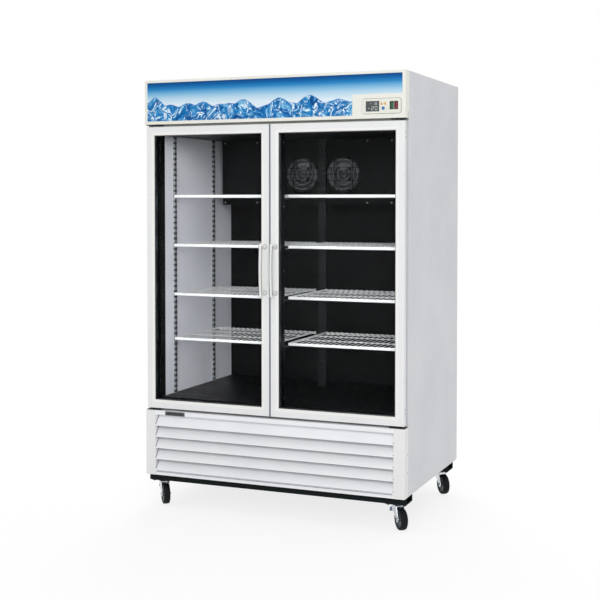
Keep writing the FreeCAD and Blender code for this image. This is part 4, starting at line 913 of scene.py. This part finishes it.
def blank_badge():
    """Bare plate on the grille's top flange, left of the middle."""
    bm = bmesh.new()
    block(bm, (-0.532, FRONT - 0.0022, 0.4295), (-0.430, FRONT + 0.0002, 0.4492), 0.0009, 3)
    piece("blank_plate", bm, "badge", "cabinet")
    bm = bmesh.new()
    bar_frame(bm, (-0.5305, -0.4315), (0.4309, 0.4478), FRONT - 0.0020, 0.0005, 6)
    piece("blank_plate_rim", bm, "zinc", "cabinet")


def outer_screws():
    """Screws of the post flanges and the back panel."""
    bm = bmesh.new()
    for sign in (-1, 1):
        for z in (0.332, 0.255):
            screw(bm, (0.6349 * sign, -0.3650, z), (sign, 0, 0), 0.0032, 0.0013)
    piece("post_screws", bm, "bolt", "cabinet")
    bm = bmesh.new()
    sides = [(x, z) for z in (0.175, 0.42, 0.75, 1.08, 1.41, 1.74, 1.965) for x in (-0.622, 0.622)]
    ends = [(x, z) for x in (-0.4, -0.2, 0.0, 0.2, 0.4) for z in (0.162, 1.975)]
    height = 0.0018
    for x, z in sides + ends:
        screw(bm, (x, BACK - height, z), (0, 1, 0), 0.0045, height)
    piece("back_screws", bm, "bolt", "cabinet")


def compressor():
    """Welded can: two domed shells, the weld bead, foot plate and grommets."""
    bm = bmesh.new()
    x, y, low, plate, foot_reach = -0.290, 0.0105, 0.164, 0.0977, 0.0817
    place = Matrix.Translation((x, y, low))
    lathe(bm, [(0, 0), (0.060, 0.0), (0.078, 0.008), (0.084, 0.022), (0.085, 0.06),
               (0.085, 0.092), (0.0866, 0.0945), (0.0866, 0.0985), (0.085, 0.101),
               (0.085, 0.135), (0.082, 0.152), (0.072, 0.170), (0.055, 0.182),
               (0.030, 0.188), (0, 0.189)], place, 56)
    block(bm, (x - plate, y - plate, low - 0.003), (x + plate, y + plate, low), 0.001)
    for dx in (-foot_reach, foot_reach):
        for dy in (-foot_reach, foot_reach):
            foot = Matrix.Translation((x + dx, y + dy, 0.148))
            lathe(bm, [(0, 0), (0.0078, 0), (0.008, 0.003), (0.0062, 0.006), (0.008, 0.009),
                       (0.0078, 0.013), (0, 0.013)], foot, 20)
    piece("compressor_can", bm, "machine", "cabinet", ["compressor"])


# ---------------- casters

def wheel_place(corner):
    """The middle of a wheel, with Z along its axle."""
    low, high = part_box(f"caster_wheel_{corner}")
    middle = (low + high) / 2
    turn = AXLE_TURN @ Matrix.Rotation(math.radians(-90), 4, "X")
    return Matrix.Translation((middle.x, middle.y, AXLE_Z)) @ turn


def mirrored(half, middle=()):
    """A profile and its mirror image, closed on its first point."""
    return [*half, *middle, *((radius, -height) for radius, height in reversed(half)), half[0]]


def wheels():
    """A tyre with rounded shoulders and a dished hub on each caster."""
    tread = mirrored([(0.034, -0.0132), (0.0352, -0.0146), (0.0385, -0.015), (0.0425, -0.0147),
                      (0.0455, -0.0132), (0.0469, -0.0105), (0.0474, -0.006)], [(0.0475, 0.0)])
    hub = mirrored([(0.00405, -0.015), (0.009, -0.015), (0.0105, -0.0142), (0.011, -0.0105),
                    (0.013, -0.0092), (0.028, -0.0098), (0.031, -0.0125), (0.0338, -0.0136),
                    (0.0344, -0.0128)])
    for corner in CORNERS:
        bm = bmesh.new()
        lathe(bm, tread, wheel_place(corner), 72)
        piece(f"tyre_{corner}", bm, "rubber", f"{corner}_wheel",
              [f"caster_wheel_{corner}"])
        bm = bmesh.new()
        lathe(bm, hub, wheel_place(corner), 48)
        piece(f"hub_{corner}", bm, "hub", f"{corner}_wheel")


def brake_treads():
    """Bent tread with three ribs at the end of each brake lever."""
    profile = [(-0.0520, 0.0812), (-0.0600, 0.0790), (-0.0662, 0.0710), (-0.0692, 0.0605),
               (-0.0655, 0.0594), (-0.0626, 0.0688), (-0.0578, 0.0740), (-0.0520, 0.0752)]
    end_size, rib = 0.98, 0.0105
    for side, sign in SIDES:
        place = Matrix.Translation((CASTER_X * sign, CASTER_FRONT_Y, 0)) @ AXLE_TURN
        bm = bmesh.new()
        rings = [[bm.verts.new(place @ Vector((x, y, z))) for x, z in profile]
                 for y in (-0.0128, -0.0122, 0.0122, 0.0128)]
        for ring in (rings[0], rings[-1]):
            middle = sum((v.co for v in ring), Vector()) / len(ring)
            for vertex in ring:
                vertex.co = middle + (vertex.co - middle) * end_size
        join_rings(bm, rings, ends=True)
        for x, z in ((-0.0618, 0.0768), (-0.0652, 0.0722), (-0.0674, 0.0668)):
            tube(bm, [place @ Vector((x, y, z)) for y in (-rib, rib)], 0.0009, 8)
        piece(f"brake_tread_{side}", bm, "brake", f"{side}_brake")


def swivel_tops():
    """Caster top plates: rounded edges, bolts, ball race rings and kingpin rivet."""
    bm = bmesh.new()
    under, top = 0.110, 0.114
    downwards = Matrix.Rotation(math.pi, 4, "X")
    for corner in CORNERS:
        x = CASTER_X * (-1 if "left" in corner else 1)
        y = CASTER_FRONT_Y if "front" in corner else CASTER_REAR_Y
        block(bm, (x - 0.048, y - 0.039, under), (x + 0.048, y + 0.039, top), 0.0012)
        for dx in (-0.037, 0.037):
            for dy in (-0.028, 0.028):
                place = Matrix.Translation((x + dx, y + dy, under)) @ downwards
                bolt_head(bm, place, 0.0065, 0.0042)
        place = Matrix.Translation((x, y, 0))
        lathe(bm, [(0, 0.0982), (0.006, 0.0982), (0.006, 0.1033), (0.0245, 0.1033),
                   (0.0262, 0.1046), (0.0262, 0.1062), (0.0248, 0.1074), (0.0262, 0.1086),
                   (0.027, 0.1102), (0, 0.1102)], place, 48)
    # painted shade: the top plates take the dark hinge metal for the shade under the base rail
    piece("swivel_tops", bm, "hinge", "cabinet", ["caster_plates"], 30)


def axle_ends():
    """Domed axle nuts over the fork's hexagon heads."""
    for corner in CORNERS:
        bm = bmesh.new()
        base = wheel_place(corner)
        for sign in (-1, 1):
            place = base @ Matrix.Translation((0, 0, 0.0226 * sign)) @ Matrix.Rotation(
                0 if sign > 0 else math.pi, 4, "X")
            lathe(bm, [(0.0045, 0), (0.0045, 0.0012), (0.003, 0.0022), (0, 0.0026)], place, 20)
        piece(f"axle_end_{corner}", bm, "bolt", f"{corner}_swivel")


# ---------------- carried-over nodes

FORKS = tuple(f"caster_fork_{corner}" for corner in CORNERS)
LEVERS = ("brake_lever_left", "brake_lever_right")
NODE_PAINTS = {
    "header": ("header_housing", "control_panel"),
    "post": ("corner_posts",),
    "door": ("door_frame_left", "door_frame_right"),
    "grille": ("louver_grille",),
    "side": ("side_panel_left", "side_panel_right", "top_cover"),
    "back": ("back_panel",),
    "foam": ("foam_core",),
    "liner": ("inner_liner",),
    "cover": ("evaporator_cover",),
    "breaker": ("breaker_frame", "center_mullion"),
    "sign": ("sign_panel",),
    "lamp": ("sign_lamp",),
    "module": ("control_bezel",),
    "black": ("rocker_light", "rocker_power"),
    "base": ("base_frame",),
    "machine": ("condenser_shroud", "evaporator_motors"),
    "coil": ("condenser_coil", "evaporator_coil"),
    "standard": ("shelf_standards", "shelf_clips"),
    "gasket": ("door_gasket_left", "door_gasket_right"),
    "hinge": ("hinge_brackets",),
    "zinc": FORKS,
    "brake": LEVERS,
}
# radius to which edges are eased, and the nodes that get it
EASED = {
    0.0005: ("header_housing", "evaporator_cover", "rocker_light", "rocker_power"),
    0.0006: ("louver_grille",),
    0.0008: ("hinge_brackets", "base_frame", *FORKS),
    0.0009: ("control_bezel",),
    0.0012: LEVERS,
    0.0015: ("center_mullion",),
}


def dress_nodes():
    """Gives the carried-over nodes their materials and eased edges."""
    for paint, names in NODE_PAINTS.items():
        for name in names:
            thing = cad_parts[name]
            thing.data.materials.clear()
            thing.data.materials.append(PAINTS[paint].material)
    for radius, names in EASED.items():
        for name in names:
            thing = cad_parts[name]
            weld = thing.modifiers.new("weld", "WELD")
            weld.merge_threshold = 0.00001
            ease = thing.modifiers.new("ease", "BEVEL")
            ease.width = radius
            ease.segments = 2
            ease.limit_method = "ANGLE"
            ease.angle_limit = math.radians(40)


# ---------------- stage

def background_rays(tree):
    """1 for rays that show the background, straight or by a mirror or through glass."""
    path = node(tree, "LightPath", {})
    share = path["Is Camera Ray"]
    for ray in ("Is Glossy Ray", "Is Transmission Ray"):
        share = node(tree, "Math", {0: share, 1: path[ray]}, operation="MAXIMUM")[0]
    return share


def far_from_middle(tree, near, far):
    """0 close to the object and 1 beyond it, on the floor's own coordinates."""
    place = node(tree, "TexCoord", {})["Object"]
    reach = node(tree, "VectorMath", {0: place}, operation="LENGTH")["Value"]
    return node(tree, "MapRange", {0: reach, "From Min": near, "From Max": far})[0]


def stage():
    """Pale floor that keeps the object's shadow and fades into the white background."""
    mesh = bpy.data.meshes.new("floor")
    size, level = 40, -0.0005
    mesh.from_pydata([(-size, -size, level), (size, -size, level), (size, size, level),
                      (-size, size, level)], [], [(0, 1, 2, 3)])
    floor = bpy.data.objects.new("floor", mesh)
    bpy.context.scene.collection.objects.link(floor)
    material = bpy.data.materials.new("floor")
    material.use_nodes = True
    tree = material.node_tree
    tree.nodes.clear()
    lit = node(tree, "BsdfDiffuse", {"Color": (0.82, 0.82, 0.82, 1)})[0]
    shaded = node(tree, "BsdfDiffuse", {"Color": (0.22, 0.22, 0.22, 1)})[0]
    glow = node(tree, "Emission", {"Strength": 0.80})[0]
    near = node(tree, "AddShader", {0: shaded, 1: glow})[0]
    white = node(tree, "Emission", {})[0]
    shown = node(tree, "MixShader", {0: far_from_middle(tree, 1.3, 3.2), 1: near, 2: white})[0]
    floor_shader = node(tree, "MixShader", {0: background_rays(tree), 1: lit, 2: shown})[0]
    node(tree, "OutputMaterial", {0: floor_shader})
    mesh.materials.append(material)


def lamp(name, place, target, size, power):
    """Square lamp that faces a target."""
    data = bpy.data.lights.new(name, "AREA")
    data.shape = "SQUARE"
    data.size = size
    data.energy = power
    thing = bpy.data.objects.new(name, data)
    thing.location = place
    aim = Vector(target) - Vector(place)
    thing.rotation_mode = "QUATERNION"
    thing.rotation_quaternion = aim.to_track_quat("-Z", "Y")
    bpy.context.scene.collection.objects.link(thing)


def light():
    """White background, an even soft world and three large lamps."""
    world = bpy.data.worlds.new("studio")
    bpy.context.scene.world = world
    world.use_nodes = True
    tree = world.node_tree
    tree.nodes.clear()
    soft, white = (node(tree, "Background", {"Color": (1, 1, 1, 1), "Strength": strength})[0]
                   for strength in (0.62, 1.0))
    sky = node(tree, "MixShader", {0: background_rays(tree), 1: soft, 2: white})[0]
    node(tree, "OutputWorld", {0: sky})
    target = (0, 0, 1.0)
    lamp("key", (2.3, -6.0, 3.0), target, 2.4, 141)
    lamp("fill", (4.4, 0.2, 2.4), target, 2.4, 8)
    lamp("rear", (-1.5, 4.2, 3.0), target, 2.6, 120)


def camera():
    """Camera at the angle of a viewer who stands right of the doors."""
    data = bpy.data.cameras.new("camera")
    data.lens = 70.06
    data.sensor_width = 36
    data.shift_y = -0.1033
    data.clip_end = 200
    thing = bpy.data.objects.new("camera", data)
    thing.location = (2.1248, -5.181, 1.4368)
    thing.rotation_euler = (math.radians(88.116), 0, math.radians(22.492))
    bpy.context.scene.collection.objects.link(thing)
    bpy.context.scene.camera = thing


# ---------------- build

dress_nodes()
sign_edge()
display()
module_outline()
buttons()
rockers()
for side, sign in SIDES:
    handle(side, sign)
    handle_shade_lines(side, sign)
    frame_ridge(side, sign)
    insulating_unit(side, sign)
    glazing_bead(side, sign)
    gasket_folds(side, sign)
    door_screws(side, sign)
shelves()
fans()
compartment_screws()
guard_rings()
louvre_end_shade()
grille_lines()
blank_badge()
outer_screws()
compressor()
wheels()
brake_treads()
swivel_tops()
axle_ends()
stage()
light()
camera()
bpy.context.scene.view_settings.view_transform = "Standard"
